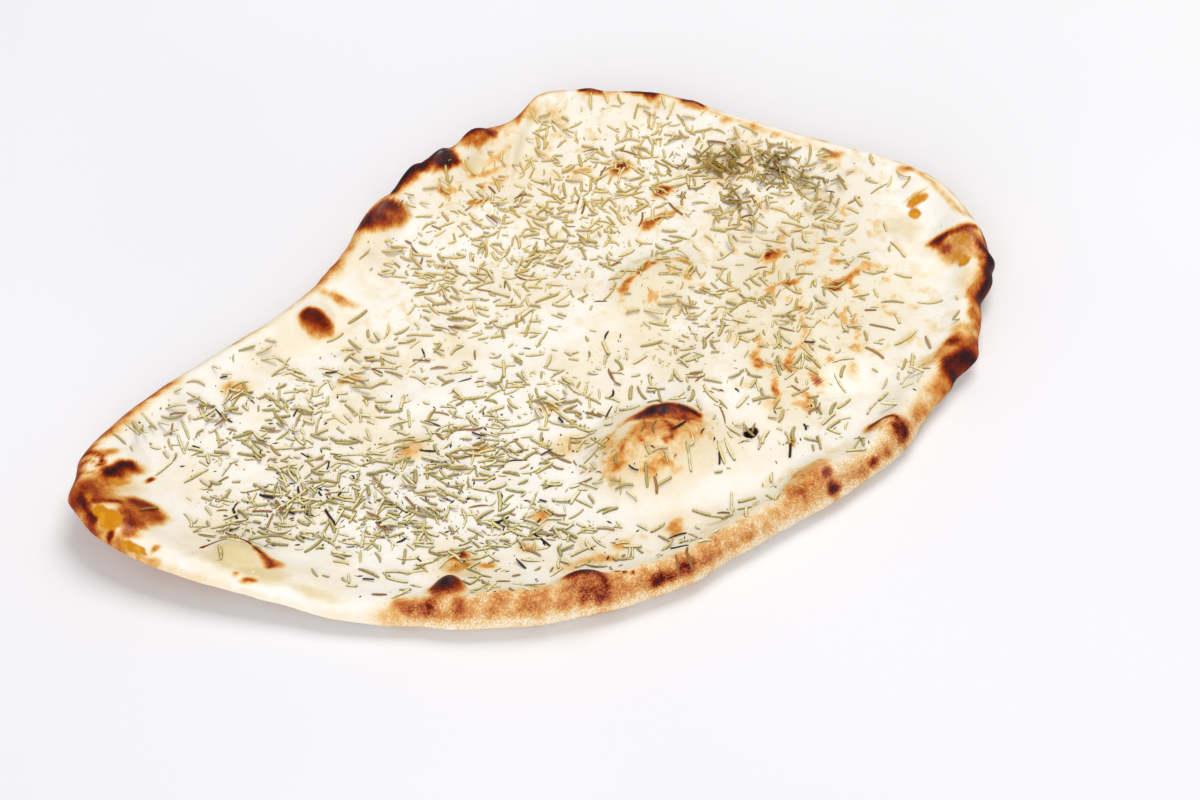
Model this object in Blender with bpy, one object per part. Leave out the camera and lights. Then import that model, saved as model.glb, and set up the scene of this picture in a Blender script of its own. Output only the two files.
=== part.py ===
# Rosemary naan: one flatbread drawn out by hand into a blunt teardrop and baked on an oven wall.
# It has a puffed rim, blisters on its upper face, a flat underside whose edge curls up, and
# dried rosemary needles baked on to it, so the whole is one solid.
# Sizes below are millimetres and become metres as the meshes are made. +X runs from the narrow
# end to the broad end, +Z is up, and the origin is under the middle of the bread.

import math
import random

import bmesh
import bpy
import numpy as np
from mathutils import Vector

MM = 0.001
LENGTH = 324.0
WIDTH = 226.0

# The dough: thin between the rim and the blisters, with a soft rise and fall.
CRUMB = 4.8
WAVES = ((96.0, 20.0, 0.6, 0.7), (61.0, 115.0, 2.1, 0.6), (43.0, 65.0, 4.0, 0.45), (31.0, 150.0, 1.2, 0.3))

# The rim: a roll whose crest lies inside the edge, and which is puffed more at these places.
ROLL = 2.2
CREST_INSET = 6.0
CREST_SPREAD = 6.5
EDGE_ROUND = 4.5
MIDDLE_INSET = 24.0  # this far inside the edge the middle's own rise and fall is at its full
PUFFS = (  # x, y, reach, extra height
    (-62, -98, 26, 4.2),
    (-22, -110, 32, 4.4),
    (22, -108, 30, 3.4),
    (68, -101, 26, 3.2),
    (112, -82, 28, 2.6),
    (153, -38, 26, 4.0),
    (160, 12, 30, 1.5),
    (112, 80, 34, 1.4),
    (66, 112, 24, 2.0),
    (8, 102, 28, 2.8),
    (-26, 84, 22, 2.0),
    (-92, 48, 24, 0.8),
    (-146, 22, 20, 1.6),
    (-158, -4, 18, 1.8),
    (-124, -52, 28, -1.0),
)

# The edge curls off the table by these heights, starting from CURL_START of the way out.
CURL_START = 0.66
CURL_BASE = 0.8
CURLS = (  # x, y, reach, height
    (-160, 2, 40, 8.0),
    (-132, -44, 34, 4.0),
    (-120, 42, 34, 3.6),
    (-58, 60, 34, 3.4),
    (0, 100, 34, 2.0),
    (62, 114, 42, 3.4),
    (126, 62, 40, 4.4),
    (162, -8, 40, 4.6),
    (150, -44, 30, 1.0),
    (120, -78, 30, 1.6),
)

# Swells and blisters: x, y, half length, half width, turn in degrees, height.
DOME_POWER = 1.4  # how softly a blister meets the dough round it
SWELLS = (
    (84, -26, 46, 34, 60, 5.0),
    (-84, -14, 52, 34, 160, -1.4),
    (20, 30, 60, 40, 20, -0.8),
)
BLISTERS = (
    (8, -60, 26, 22, 10, 9.5),
    (20, -50, 12, 7, -25, 2.6),
    (50, 7, 22, 15, 15, 5.2),
    (-122, -36, 12, 9, -45, 5.0),
    (-139, 14, 8, 6, 20, 3.4),
    (-146, -6, 12, 9, 80, 2.2),
    (-60, 45, 8.5, 6.5, 25, 4.6),
    (-16, 80.5, 11, 8.5, 30, 3.8),
    (2, 95.5, 9, 4.5, 28, 2.4),
    (13, 95.5, 8, 5.5, 24, 3.6),
    (29.5, 100, 8, 6, 12, 3.6),
    (-74, -80, 6, 6, 0, 4.6),
    (-41, -101, 8, 10, 14, 3.4),
    (45, -97, 14, 10, 15, 3.6),
    (75.5, -93, 9, 7, 35, 3.0),
    (146, -31, 12, 10, 70, 3.2),
    (-67, -70, 6.5, 5, 0, 2.2),
    (-36, -67, 5, 4.5, 0, 1.8),
    (-58, -22, 7.5, 6, 30, 1.8),
    (-60, 16, 5, 4.5, 0, 1.3),
    (71, 65, 6, 5, 20, 1.9),
    (57, 69, 5, 4.5, 0, 1.5),
    (77, 47, 5, 4.5, 0, 1.5),
    (90, -3, 6, 5, 0, 1.8),
    (-10, -27, 5, 4.5, 0, 1.5),
    (149, -4, 7, 5.5, 70, 2.0),
    (18, 71, 6.5, 5.5, 0, 2.2),
    (0, -90, 6, 4.5, 10, 1.6),
    (112, -25, 9, 5, 30, 2.0),
    (-90, 30, 12, 8, 20, 1.8),
    (-28, 22, 14, 9, 60, 1.4),
    (100, 84, 9, 6, 130, 1.8),
)

# The edge seen from above, starting at the broad end and running anticlockwise.
OUTLINE = (
    (163, -4), (158, 14), (143, 37.5), (125, 60.5), (109, 84), (91, 101.5), (67, 114.5), (48, 107.5),
    (33, 108), (18, 103), (0, 98), (-21, 86), (-36, 73.5), (-52, 62), (-71, 54.5), (-99, 47),
    (-127, 36.5), (-149, 23.5), (-155.5, 13), (-161, 4), (-157, -13), (-142, -36), (-113, -65),
    (-89, -85), (-57, -103), (-17, -112), (19, -109), (56, -104.5), (79, -98.5), (98, -88),
    (121, -77.5), (139, -59), (155, -41.5), (161, -23),
)  # fmt: skip
HUB = (-25.0, 0.0)  # the spokes of the mesh run out from here

# Rings of the mesh, as shares of the way from the hub to the edge.
SPOKES = 112
RIM_RINGS = (0.995, 0.984, 0.968, 0.948, 0.922, 0.89)
TOP_RINGS = RIM_RINGS + (0.85, 0.80, 0.74, 0.68, 0.61, 0.54, 0.46, 0.38, 0.30, 0.21, 0.11)
BASE_RINGS = (0.992, 0.972, 0.942, 0.89, 0.80, 0.66, 0.35)

# Dried rosemary: the solid carries the needles that show most, at their true size.
NEEDLES = 160
SHARP_ANGLE = 35.0
NEEDLE_LENGTHS = (5.5, 9.5)
NEEDLE_WIDTH = 1.5
NEEDLE_DEPTH = 1.3
NEEDLE_SUNK = 0.45
NEEDLE_SPACING = 8.5
NEEDLE_EDGE_GAP = 17.0
NEEDLE_SEED = 11
SPRINKLE_BASE = 0.16
SPRINKLE = (  # x, y, half length, half width, turn, weight: where the needles lie thickest
    (-92, -28, 44, 20, -35, 1.0),
    (-88, 10, 26, 14, 10, 0.7),
    (-38, -28, 40, 22, 10, 0.7),
    (10, 48, 42, 26, 20, 0.55),
    (62, 62, 34, 20, 20, 0.6),
    (110, 42, 20, 15, -50, 1.0),
    (66, -28, 22, 34, 40, 0.4),
    (-45, -72, 30, 10, -20, 0.5),
)
BARE = (  # x, y, half length, half width, turn: where hardly any lie
    (-40, 57, 24, 11, -50),
    (20, 2, 20, 9, 20),
    (138, -22, 22, 30, 0),
    (10, -84, 30, 8, 5),
    (-112, -50, 22, 12, -45),
    (10, -58, 15, 9, -15),
    (44, -98, 18, 10, 15),
)


def smoothstep(t):
    t = np.clip(t, 0.0, 1.0)
    return t * t * (3.0 - 2.0 * t)


def closed_curve(points, per_span):
    # A uniform Catmull-Rom curve through the points, as one closed loop.
    points = np.array(points, float)
    before, after, beyond = (np.roll(points, k, axis=0) for k in (1, -1, -2))
    t = (np.arange(per_span) / per_span)[:, None, None]
    curve = 0.5 * (
        2.0 * points
        + (after - before) * t
        + (2.0 * before - 5.0 * points + 4.0 * after - beyond) * t**2
        + (3.0 * points - before - 3.0 * after + beyond) * t**3
    )
    return curve.transpose(1, 0, 2).reshape(-1, 2)


def even_loop(curve, count):
    # The same loop as points at equal distances along it.
    closed = np.vstack([curve, curve[:1]])
    along = np.concatenate([[0.0], np.cumsum(np.hypot(*np.diff(closed, axis=0).T))])
    places = np.arange(count) * along[-1] / count
    return np.stack([np.interp(places, along, closed[:, k]) for k in (0, 1)], axis=1)


def fitted_outline(samples=1440):
    # The edge at its true length and width, centred on the origin.
    loop = even_loop(closed_curve(OUTLINE, 24), samples)
    low, high = loop.min(axis=0), loop.max(axis=0)
    return (loop - (low + high) / 2.0) * np.array([LENGTH, WIDTH]) / (high - low)


EDGE = fitted_outline()
EDGE_FROM_HUB = EDGE - np.array(HUB)
EDGE_RADIUS = np.hypot(*EDGE_FROM_HUB.T)
EDGE_ANGLE = np.unwrap(np.arctan2(EDGE_FROM_HUB[:, 1], EDGE_FROM_HUB[:, 0]))
EDGE_RUN = np.roll(EDGE, -6, axis=0) - np.roll(EDGE, 6, axis=0)
# How squarely a spoke meets the edge: 1 is at right angles.
EDGE_SQUARE = np.abs(
    EDGE_FROM_HUB[:, 0] * EDGE_RUN[:, 1] - EDGE_FROM_HUB[:, 1] * EDGE_RUN[:, 0]
) / (EDGE_RADIUS * np.hypot(*EDGE_RUN.T))


def edge_place(x, y):
    # The share of the way from the hub to the edge, and the distance inside the edge.
    dx, dy = x - HUB[0], y - HUB[1]
    radius = np.hypot(dx, dy)
    angle = np.mod(np.arctan2(dy, dx) - EDGE_ANGLE[0], math.tau) + EDGE_ANGLE[0]
    edge = np.interp(angle, EDGE_ANGLE, EDGE_RADIUS, period=math.tau)
    square = np.interp(angle, EDGE_ANGLE, EDGE_SQUARE, period=math.tau)
    return radius / edge, np.maximum(edge - radius, 0.0) * square


def falloff(x, y, centre_x, centre_y, reach):
    return np.exp(-((x - centre_x) ** 2 + (y - centre_y) ** 2) / reach**2)


def oval_share(x, y, centre_x, centre_y, half_x, half_y, turn):
    # 0 at the middle of a turned oval, 1 on its edge.
    c, s = math.cos(math.radians(turn)), math.sin(math.radians(turn))
    u = ((x - centre_x) * c + (y - centre_y) * s) / half_x
    v = ((y - centre_y) * c - (x - centre_x) * s) / half_y
    return u * u + v * v


def underside_lift(x, y):
    share, _ = edge_place(x, y)
    lift = CURL_BASE + sum(h * falloff(x, y, cx, cy, reach) for cx, cy, reach, h in CURLS)
    return lift * smoothstep((share - CURL_START) / (1.0 - CURL_START))


def thickness(x, y):
    _, inset = edge_place(x, y)
    middle = smoothstep(inset / MIDDLE_INSET)
    puff = ROLL + sum(h * falloff(x, y, cx, cy, reach) for cx, cy, reach, h in PUFFS)
    total = CRUMB + puff * np.exp(-(((inset - CREST_INSET) / CREST_SPREAD) ** 2))
    for length, heading, phase, height in WAVES:
        c, s = math.cos(math.radians(heading)), math.sin(math.radians(heading))
        total = total + middle * height * np.sin(math.tau * (x * c + y * s) / length + phase)
    for cx, cy, half_x, half_y, turn, height in SWELLS:
        total = total + height * middle * np.exp(-oval_share(x, y, cx, cy, half_x, half_y, turn))
    for cx, cy, half_x, half_y, turn, height in BLISTERS:
        dome = np.clip(1.0 - oval_share(x, y, cx, cy, half_x, half_y, turn), 0.0, 1.0)
        total = total + height * dome**DOME_POWER
    return total


def faces_of_bread(x, y):
    # The heights of the upper face and of the underside, which meet in a round edge.
    _, inset = edge_place(x, y)
    lift, thick = underside_lift(x, y), thickness(x, y)
    full = np.sqrt(1.0 - (1.0 - np.clip(inset / EDGE_ROUND, 0.0, 1.0)) ** 2)
    half = thick / 2.0
    return lift + half * (1.0 + full), lift + half * (1.0 - full)


def add_ring(bm, edge, share, upper):
    xy = np.array(HUB) + share * (edge - np.array(HUB))
    top, base = faces_of_bread(xy[:, 0], xy[:, 1])
    heights = top if upper else base
    return [bm.verts.new(Vector((*p, z)) * MM) for p, z in zip(xy, heights)]


def skin(bm, outer, inner):
    for k in range(len(outer)):
        after = (k + 1) % len(outer)
        bm.faces.new((outer[k], outer[after], inner[after], inner[k]))


def bread_mesh():
    # Two sets of rings, over and under, that share the edge and close at the hub.
    bm = bmesh.new()
    edge = even_loop(EDGE, SPOKES)
    rim = add_ring(bm, edge, 1.0, True)
    for shares, upper in ((TOP_RINGS, True), (BASE_RINGS, False)):
        outer = rim
        for share in shares:
            inner = add_ring(bm, edge, share, upper)
            skin(bm, outer, inner)
            outer = inner
        top, base = faces_of_bread(*(np.array([v]) for v in HUB))
        middle = bm.verts.new(Vector((*HUB, (top if upper else base)[0])) * MM)
        for k in range(SPOKES):
            bm.faces.new((outer[k], outer[(k + 1) % SPOKES], middle))
    bmesh.ops.triangulate(bm, faces=bm.faces[:])
    bmesh.ops.recalc_face_normals(bm, faces=bm.faces[:])
    mesh = bpy.data.meshes.new("naan_dough")
    bm.to_mesh(mesh)
    bm.free()
    return mesh


def sprinkle_weight(x, y):
    weight = SPRINKLE_BASE
    for cx, cy, half_x, half_y, turn, extra in SPRINKLE:
        weight += extra * math.exp(-oval_share(x, y, cx, cy, half_x, half_y, turn))
    for cx, cy, half_x, half_y, turn in BARE:
        weight *= 1.0 - 0.95 * math.exp(-(oval_share(x, y, cx, cy, half_x, half_y, turn) ** 2))
    return min(weight, 1.0)


def needle_places(rng):
    # Seeded picks by weight, kept apart from each other and from the edge.
    places = []
    while len(places) < NEEDLES:
        x = rng.uniform(-LENGTH / 2.0, LENGTH / 2.0)
        y = rng.uniform(-WIDTH / 2.0, WIDTH / 2.0)
        share, inset = edge_place(x, y)
        if share > 1.0 or inset < NEEDLE_EDGE_GAP or rng.random() > sprinkle_weight(x, y):
            continue
        if all(math.hypot(x - px, y - py) > NEEDLE_SPACING for px, py in places):
            places.append((x, y))
    return places


def surface_point(x, y):
    top, _ = faces_of_bread(x, y)
    return Vector((x, y, float(top)))


def needle_mesh(x, y, heading, length):
    # A ridged needle with tapered ends, lying along the surface with its flat back sunk in it.
    along = Vector((math.cos(heading), math.sin(heading), 0.0))
    tail, head = (surface_point(x + k * along.x * length / 2.0, y + k * along.y * length / 2.0) for k in (-1, 1))
    middle = surface_point(x, y)
    run = (head - tail).normalized()
    side = run.cross(Vector((0.0, 0.0, 1.0))).normalized()
    up = side.cross(run)
    if up.z < 0.0:
        up.negate()
    stations = ((tail, 0.5), (middle, 1.0), (head, 0.5))
    bm = bmesh.new()
    rings = []
    for centre, share in stations:
        wide, deep = NEEDLE_WIDTH * share / 2.0, NEEDLE_DEPTH * share
        back = centre - up * (deep * NEEDLE_SUNK)
        corners = (back + side * wide, back + up * deep, back - side * wide)
        rings.append([bm.verts.new(corner * MM) for corner in corners])
    for outer, inner in zip(rings, rings[1:]):
        skin(bm, outer, inner)
    bm.faces.new(rings[0])
    bm.faces.new(rings[-1])
    bmesh.ops.triangulate(bm, faces=bm.faces[:])
    bmesh.ops.recalc_face_normals(bm, faces=bm.faces[:])
    mesh = bpy.data.meshes.new("needle")
    bm.to_mesh(mesh)
    bm.free()
    return mesh


def plain_material(name, colour, roughness):
    material = bpy.data.materials.new(name)
    material.use_nodes = True
    shader = material.node_tree.nodes["Principled BSDF"]
    shader.inputs["Base Color"].default_value = (*colour, 1.0)
    shader.inputs["Roughness"].default_value = roughness
    shader.inputs["Metallic"].default_value = 0.0
    return material


def add_object(name, mesh, material, collection):
    obj = bpy.data.objects.new(name, mesh)
    mesh.materials.append(material)
    collection.objects.link(obj)
    return obj


def scatter_needles(material):
    rng = random.Random(NEEDLE_SEED)
    collection = bpy.data.collections.new("needles")
    bpy.context.scene.collection.children.link(collection)
    for k, (x, y) in enumerate(needle_places(rng)):
        heading, length = rng.uniform(0.0, math.pi), rng.uniform(*NEEDLE_LENGTHS)
        add_object(f"needle_{k}", needle_mesh(x, y, heading, length), material, collection)
    return collection


def fuse(bread, collection):
    # One Boolean union bakes the needles on, and then their own objects go.
    union = bread.modifiers.new("baked on", "BOOLEAN")
    union.operation = "UNION"
    union.operand_type = "COLLECTION"
    union.collection = collection
    union.solver = "EXACT"
    bpy.context.view_layer.objects.active = bread
    bread.select_set(True)
    bpy.ops.object.modifier_apply(modifier=union.name)
    for obj in list(collection.objects):
        bpy.data.objects.remove(obj)
    bpy.data.collections.remove(collection)


def drop_scraps(bread):
    # Keeps the largest closed piece, and leaves no loose scrap or thin sliver.
    bm = bmesh.new()
    bm.from_mesh(bread.data)
    bmesh.ops.triangulate(bm, faces=bm.faces[:])
    bm.verts.ensure_lookup_table()
    unseen, pieces = set(bm.verts), []
    while unseen:
        piece, front = set(), [unseen.pop()]
        while front:
            vert = front.pop()
            piece.add(vert)
            for edge in vert.link_edges:
                other = edge.other_vert(vert)
                if other in unseen:
                    unseen.discard(other)
                    front.append(other)
        pieces.append(piece)
    pieces.sort(key=len)
    for piece in pieces[:-1]:
        bmesh.ops.delete(bm, geom=list(piece), context="VERTS")
    bm.to_mesh(bread.data)
    bm.free()


def build():
    for obj in list(bpy.data.objects):
        bpy.data.objects.remove(obj)
    dough = plain_material("baked_dough", (0.91, 0.82, 0.62), 0.62)
    rosemary = plain_material("dried_rosemary", (0.36, 0.35, 0.16), 0.7)
    bread = add_object("rosemary_naan", bread_mesh(), dough, bpy.context.scene.collection)
    fuse(bread, scatter_needles(rosemary))
    drop_scraps(bread)
    bread.data.shade_smooth()
    bread.data.set_sharp_from_angle(angle=math.radians(SHARP_ANGLE))


build()
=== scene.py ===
import math
import random

import bpy
import numpy as np
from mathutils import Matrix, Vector, noise
from mathutils.bvhtree import BVHTree
from mathutils.kdtree import KDTree


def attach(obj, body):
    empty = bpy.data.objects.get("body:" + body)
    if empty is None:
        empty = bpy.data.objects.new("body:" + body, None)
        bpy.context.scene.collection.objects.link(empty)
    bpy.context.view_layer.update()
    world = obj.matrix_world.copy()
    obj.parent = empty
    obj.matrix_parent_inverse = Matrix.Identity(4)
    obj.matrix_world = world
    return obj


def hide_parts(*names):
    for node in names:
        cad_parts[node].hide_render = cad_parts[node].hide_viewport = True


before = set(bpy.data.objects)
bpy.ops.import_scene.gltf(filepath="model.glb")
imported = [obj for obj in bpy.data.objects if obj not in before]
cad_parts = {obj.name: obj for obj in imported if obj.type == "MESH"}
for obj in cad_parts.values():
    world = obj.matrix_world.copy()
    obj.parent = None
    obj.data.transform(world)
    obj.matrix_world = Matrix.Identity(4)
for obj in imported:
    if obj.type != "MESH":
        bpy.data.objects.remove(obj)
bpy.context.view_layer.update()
mm = 0.001


def linearColour(red, green, blue):
    # 0 to 255 as a screen shows it, to the linear value that a shader takes.
    shares = [v / 255.0 for v in (red, green, blue)]
    return [s / 12.92 if s <= 0.04045 else ((s + 0.055) / 1.055) ** 2.4 for s in shares] + [1.0]


def smoothStep(t):
    t = np.clip(t, 0.0, 1.0)
    return t * t * (3.0 - 2.0 * t)


# The bread's form, the same as the solid's: a thin dough with a puffed rim and blisters.
bread = {
    "length": 324.0,
    "width": 226.0,
    "hub": (-25.0, 0.0),
    "crumb": 4.8,
    "waves": [(96, 20, 0.6, 0.7), (61, 115, 2.1, 0.6), (43, 65, 4.0, 0.45), (31, 150, 1.2, 0.3)],
    "roll": 2.2,
    "crestInset": 6.0,
    "crestSpread": 6.5,
    "edgeRound": 4.5,
    "middleInset": 24.0,
    "domePower": 1.4,
    "puffs": [  # x, y, reach, extra height
        (-62, -98, 26, 4.2), (-22, -110, 32, 4.4), (22, -108, 30, 3.4), (68, -101, 26, 3.2),
        (112, -82, 28, 2.6), (153, -38, 26, 4.0), (160, 12, 30, 1.5), (112, 80, 34, 1.4),
        (66, 112, 24, 2.0), (8, 102, 28, 2.8), (-26, 84, 22, 2.0), (-92, 48, 24, 0.8),
        (-146, 22, 20, 1.6), (-158, -4, 18, 1.8), (-124, -52, 28, -1.0),
    ],
    "curlStart": 0.66,
    "curlBase": 0.8,
    "curls": [  # x, y, reach, height that the edge lifts off the ground
        (-160, 2, 40, 8.0), (-132, -44, 34, 4.0), (-120, 42, 34, 3.6), (-58, 60, 34, 3.4),
        (0, 100, 34, 2.0), (62, 114, 42, 3.4), (126, 62, 40, 4.4), (162, -8, 40, 4.6),
        (150, -44, 30, 1.0), (120, -78, 30, 1.6),
    ],
    "swells": [  # x, y, half length, half width, turn, height
        (84, -26, 46, 34, 60, 5.0), (-84, -14, 52, 34, 160, -1.4), (20, 30, 60, 40, 20, -0.8),
    ],
    "blisters": [  # x, y, half length, half width, turn, height
        (8, -60, 26, 22, 10, 9.5), (20, -50, 12, 7, -25, 2.6), (50, 7, 22, 15, 15, 5.2),
        (-122, -36, 12, 9, -45, 5.0), (-139, 14, 8, 6, 20, 3.4), (-146, -6, 12, 9, 80, 2.2),
        (-60, 45, 8.5, 6.5, 25, 4.6), (-16, 80.5, 11, 8.5, 30, 3.8), (2, 95.5, 9, 4.5, 28, 2.4),
        (13, 95.5, 8, 5.5, 24, 3.6), (29.5, 100, 8, 6, 12, 3.6), (-74, -80, 6, 6, 0, 4.6),
        (-41, -101, 8, 10, 14, 3.4), (45, -97, 14, 10, 15, 3.6), (75.5, -93, 9, 7, 35, 3.0),
        (146, -31, 12, 10, 70, 3.2), (-67, -70, 6.5, 5, 0, 2.2), (-36, -67, 5, 4.5, 0, 1.8),
        (-58, -22, 7.5, 6, 30, 1.8), (-60, 16, 5, 4.5, 0, 1.3), (71, 65, 6, 5, 20, 1.9),
        (57, 69, 5, 4.5, 0, 1.5), (77, 47, 5, 4.5, 0, 1.5), (90, -3, 6, 5, 0, 1.8),
        (-10, -27, 5, 4.5, 0, 1.5), (149, -4, 7, 5.5, 70, 2.0), (18, 71, 6.5, 5.5, 0, 2.2),
        (0, -90, 6, 4.5, 10, 1.6), (112, -25, 9, 5, 30, 2.0), (-90, 30, 12, 8, 20, 1.8),
        (-28, 22, 14, 9, 60, 1.4), (100, 84, 9, 6, 130, 1.8),
    ],
    "outline": [
        (163, -4), (158, 14), (143, 37.5), (125, 60.5), (109, 84), (91, 101.5), (67, 114.5),
        (48, 107.5), (33, 108), (18, 103), (0, 98), (-21, 86), (-36, 73.5), (-52, 62), (-71, 54.5),
        (-99, 47), (-127, 36.5), (-149, 23.5), (-155.5, 13), (-161, 4), (-157, -13), (-142, -36),
        (-113, -65), (-89, -85), (-57, -103), (-17, -112), (19, -109), (56, -104.5), (79, -98.5),
        (98, -88), (121, -77.5), (139, -59), (155, -41.5), (161, -23),
    ],
}


def closedCurve(points, perSpan):
    # A smooth closed curve through the points.
    points = np.array(points, float)
    before, after, beyond = (np.roll(points, k, axis=0) for k in (1, -1, -2))
    t = (np.arange(perSpan) / perSpan)[:, None, None]
    curve = 0.5 * (
        2.0 * points
        + (after - before) * t
        + (2.0 * before - 5.0 * points + 4.0 * after - beyond) * t**2
        + (3.0 * points - before - 3.0 * after + beyond) * t**3
    )
    return curve.transpose(1, 0, 2).reshape(-1, 2)


def evenLoop(curve, count):
    # The same loop as points at equal distances along it.
    closed = np.vstack([curve, curve[:1]])
    along = np.concatenate([[0.0], np.cumsum(np.hypot(*np.diff(closed, axis=0).T))])
    places = np.arange(count) * along[-1] / count
    return np.stack([np.interp(places, along, closed[:, k]) for k in (0, 1)], axis=1)


def fittedOutline(samples=1440):
    loop = evenLoop(closedCurve(bread["outline"], 24), samples)
    low, high = loop.min(axis=0), loop.max(axis=0)
    return (loop - (low + high) / 2.0) * np.array([bread["length"], bread["width"]]) / (high - low)


def spokeSquareness(loop, reach=6):
    # How squarely a spoke from the hub meets the edge: 1 is at right angles.
    spoke = loop - np.array(bread["hub"])
    run = np.roll(loop, -reach, axis=0) - np.roll(loop, reach, axis=0)
    cross = np.abs(spoke[:, 0] * run[:, 1] - spoke[:, 1] * run[:, 0])
    return cross / (np.hypot(*spoke.T) * np.hypot(*run.T))


edge = fittedOutline()
edgeSpoke = edge - np.array(bread["hub"])
edgeRadius = np.hypot(*edgeSpoke.T)
edgeAngle = np.unwrap(np.arctan2(edgeSpoke[:, 1], edgeSpoke[:, 0]))
edgeSquare = spokeSquareness(edge)
edgeLength = np.hypot(*(edge - np.roll(edge, 1, axis=0)).T).sum()


def edgePlace(x, y):
    # The share of the way from the hub to the edge, and the distance inside the edge.
    dx, dy = x - bread["hub"][0], y - bread["hub"][1]
    radius = np.hypot(dx, dy)
    angle = np.mod(np.arctan2(dy, dx) - edgeAngle[0], math.tau) + edgeAngle[0]
    reach = np.interp(angle, edgeAngle, edgeRadius, period=math.tau)
    square = np.interp(angle, edgeAngle, edgeSquare, period=math.tau)
    return radius / reach, np.maximum(reach - radius, 0.0) * square


def fallOff(x, y, centreX, centreY, reach):
    return np.exp(-((x - centreX) ** 2 + (y - centreY) ** 2) / reach**2)


def ovalShare(x, y, centreX, centreY, halfX, halfY, turn):
    # 0 at the middle of a turned oval, 1 on its edge.
    c, s = math.cos(math.radians(turn)), math.sin(math.radians(turn))
    u = ((x - centreX) * c + (y - centreY) * s) / halfX
    v = ((y - centreY) * c - (x - centreX) * s) / halfY
    return u * u + v * v


def breadFaces(x, y):
    # The heights of the upper face and of the underside, which meet in a round edge.
    share, inset = edgePlace(x, y)
    middle = smoothStep(inset / bread["middleInset"])
    puff = bread["roll"] + sum(h * fallOff(x, y, px, py, reach) for px, py, reach, h in bread["puffs"])
    crest = (inset - bread["crestInset"]) / bread["crestSpread"]
    thick = bread["crumb"] + puff * np.exp(-(crest**2))
    for length, heading, phase, height in bread["waves"]:
        c, s = math.cos(math.radians(heading)), math.sin(math.radians(heading))
        thick = thick + middle * height * np.sin(math.tau * (x * c + y * s) / length + phase)
    for px, py, halfX, halfY, turn, height in bread["swells"]:
        thick = thick + height * middle * np.exp(-ovalShare(x, y, px, py, halfX, halfY, turn))
    for px, py, halfX, halfY, turn, height in bread["blisters"]:
        dome = np.clip(1.0 - ovalShare(x, y, px, py, halfX, halfY, turn), 0.0, 1.0)
        thick = thick + height * dome ** bread["domePower"]
    lift = bread["curlBase"] + sum(h * fallOff(x, y, px, py, reach) for px, py, reach, h in bread["curls"])
    lift = lift * smoothStep((share - bread["curlStart"]) / (1.0 - bread["curlStart"]))
    full = np.sqrt(1.0 - (1.0 - np.clip(inset / bread["edgeRound"], 0.0, 1.0)) ** 2)
    return lift + thick / 2.0 * (1.0 + full), lift + thick / 2.0 * (1.0 - full)


# What is finer than the solid: bumps of the edge, creases, pits and a soft unevenness.
relief = {
    "edgeBumps": [  # x, y, reach along the edge, how far it stands out
        (-14, 91, 5, -1.8), (2, 99, 5, 0.8), (10, 101, 4, -2.2), (18, 103, 4.5, 1.4),
        (25, 105, 3.5, -2.4), (35, 108, 5, 1.6), (43, 107, 4, -1.0), (56, 110, 5, -1.0),
        (83, 108, 5, 0.9), (99, 96, 4, 0.8), (109, 84, 4, 0.9), (122, -77, 4, 1.2),
        (112, -82, 4, -1.0), (146, -51, 4, 1.2), (152, -44.5, 3, 1.4), (140, -58, 4, -1.0),
        (-157, 9, 4, 0.5), (-160.5, 0, 4, -0.8), (-27, 83, 6, 1.0), (-45, 66, 6, 0.6),
        (-110, -70, 8, 0.6), (-88, -86, 9, -1.2), (-66, -99, 12, -1.0), (-42, -108, 10, -0.8),
        (-20, -112, 12, -1.0), (6, -111, 12, -0.8), (32, -108, 12, -0.8), (58, -105, 8, -0.6),
    ],
    "lumps": [  # x, y, half length, half width, turn, height
        (78.4, 100.8, 5.0, 3.6, -35, 1.7), (86.5, 96, 5, 4, -45, 1.0), (94.2, 90.5, 6.4, 4.0, -52, 1.9),
        (107.0, 76.6, 5.4, 3.8, -60, 1.8), (-76, -81.4, 5, 4, -35, 1.6), (-40, -102.5, 6, 5, -20, 1.0),
    ],
    "pits": [(39.4, -69.0, 2.0, 1.6), (46.5, -101.4, 1.2, 0.7)],  # x, y, radius, depth
    "creases": [  # x, y, half length, half width, turn, depth
        (40, -58, 14, 5, 80, 1.6), (-112, -42, 14, 3.5, -48, 1.0), (-22, -95, 26, 4, -4, 0.9),
        (24, -92, 22, 4, 4, 0.8), (-128, -18, 16, 4, 60, 0.8), (70, -70, 20, 5, 20, 0.8),
        (-50, -104, 3, 9, 20, 0.9), (-27, -108, 2.5, 9, 5, 0.8), (-4, -109, 2.5, 8, 0, 0.6),
        (28, -105, 3, 9, 5, 1.0), (62, -100, 3, 9, 15, 1.2), (-84, -86, 2.5, 8, 40, 0.7),
        (120, 20, 26, 5, 60, 0.7), (20, -14, 24, 5, 25, 0.6), (-40, -46, 22, 5, -25, 0.6),
        (62, -50, 22, 3, 60, 0.9), (70, -62, 20, 3, 60, 0.7), (48, -46, 18, 3, 66, 0.7),
        (-62, 34, 26, 2.6, -28, 0.7), (-86, 22, 22, 2.4, -24, 0.6), (-20, 62, 20, 3, -40, 0.6),
        (90, 64, 22, 3, -42, 0.6), (128, -8, 18, 3, 80, 0.6), (104, -58, 20, 3, 44, 0.7),
    ],
    "unevenness": [(34.0, 0.60, 3.0), (15.0, 0.42, 7.0), (7.0, 0.22, 11.0)],  # size, height, seed
    "edgeUnevenness": [(9.0, 0.45, 17.0), (4.0, 0.20, 23.0)],
    "settledInset": 3.0,  # nearer the edge than this, the upper face grows smooth
    "pushInset": 7.0,
    "bubbles": 210,
    "bubbleShare": 0.45,  # of them, how many are kept far from the edge
    "bubbleInset": 25.0,
    "bubbleReach": (1.6, 4.6),
    "bubbleHeight": (0.15, 0.55),
    "bubbleSeed": 5,
}


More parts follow.
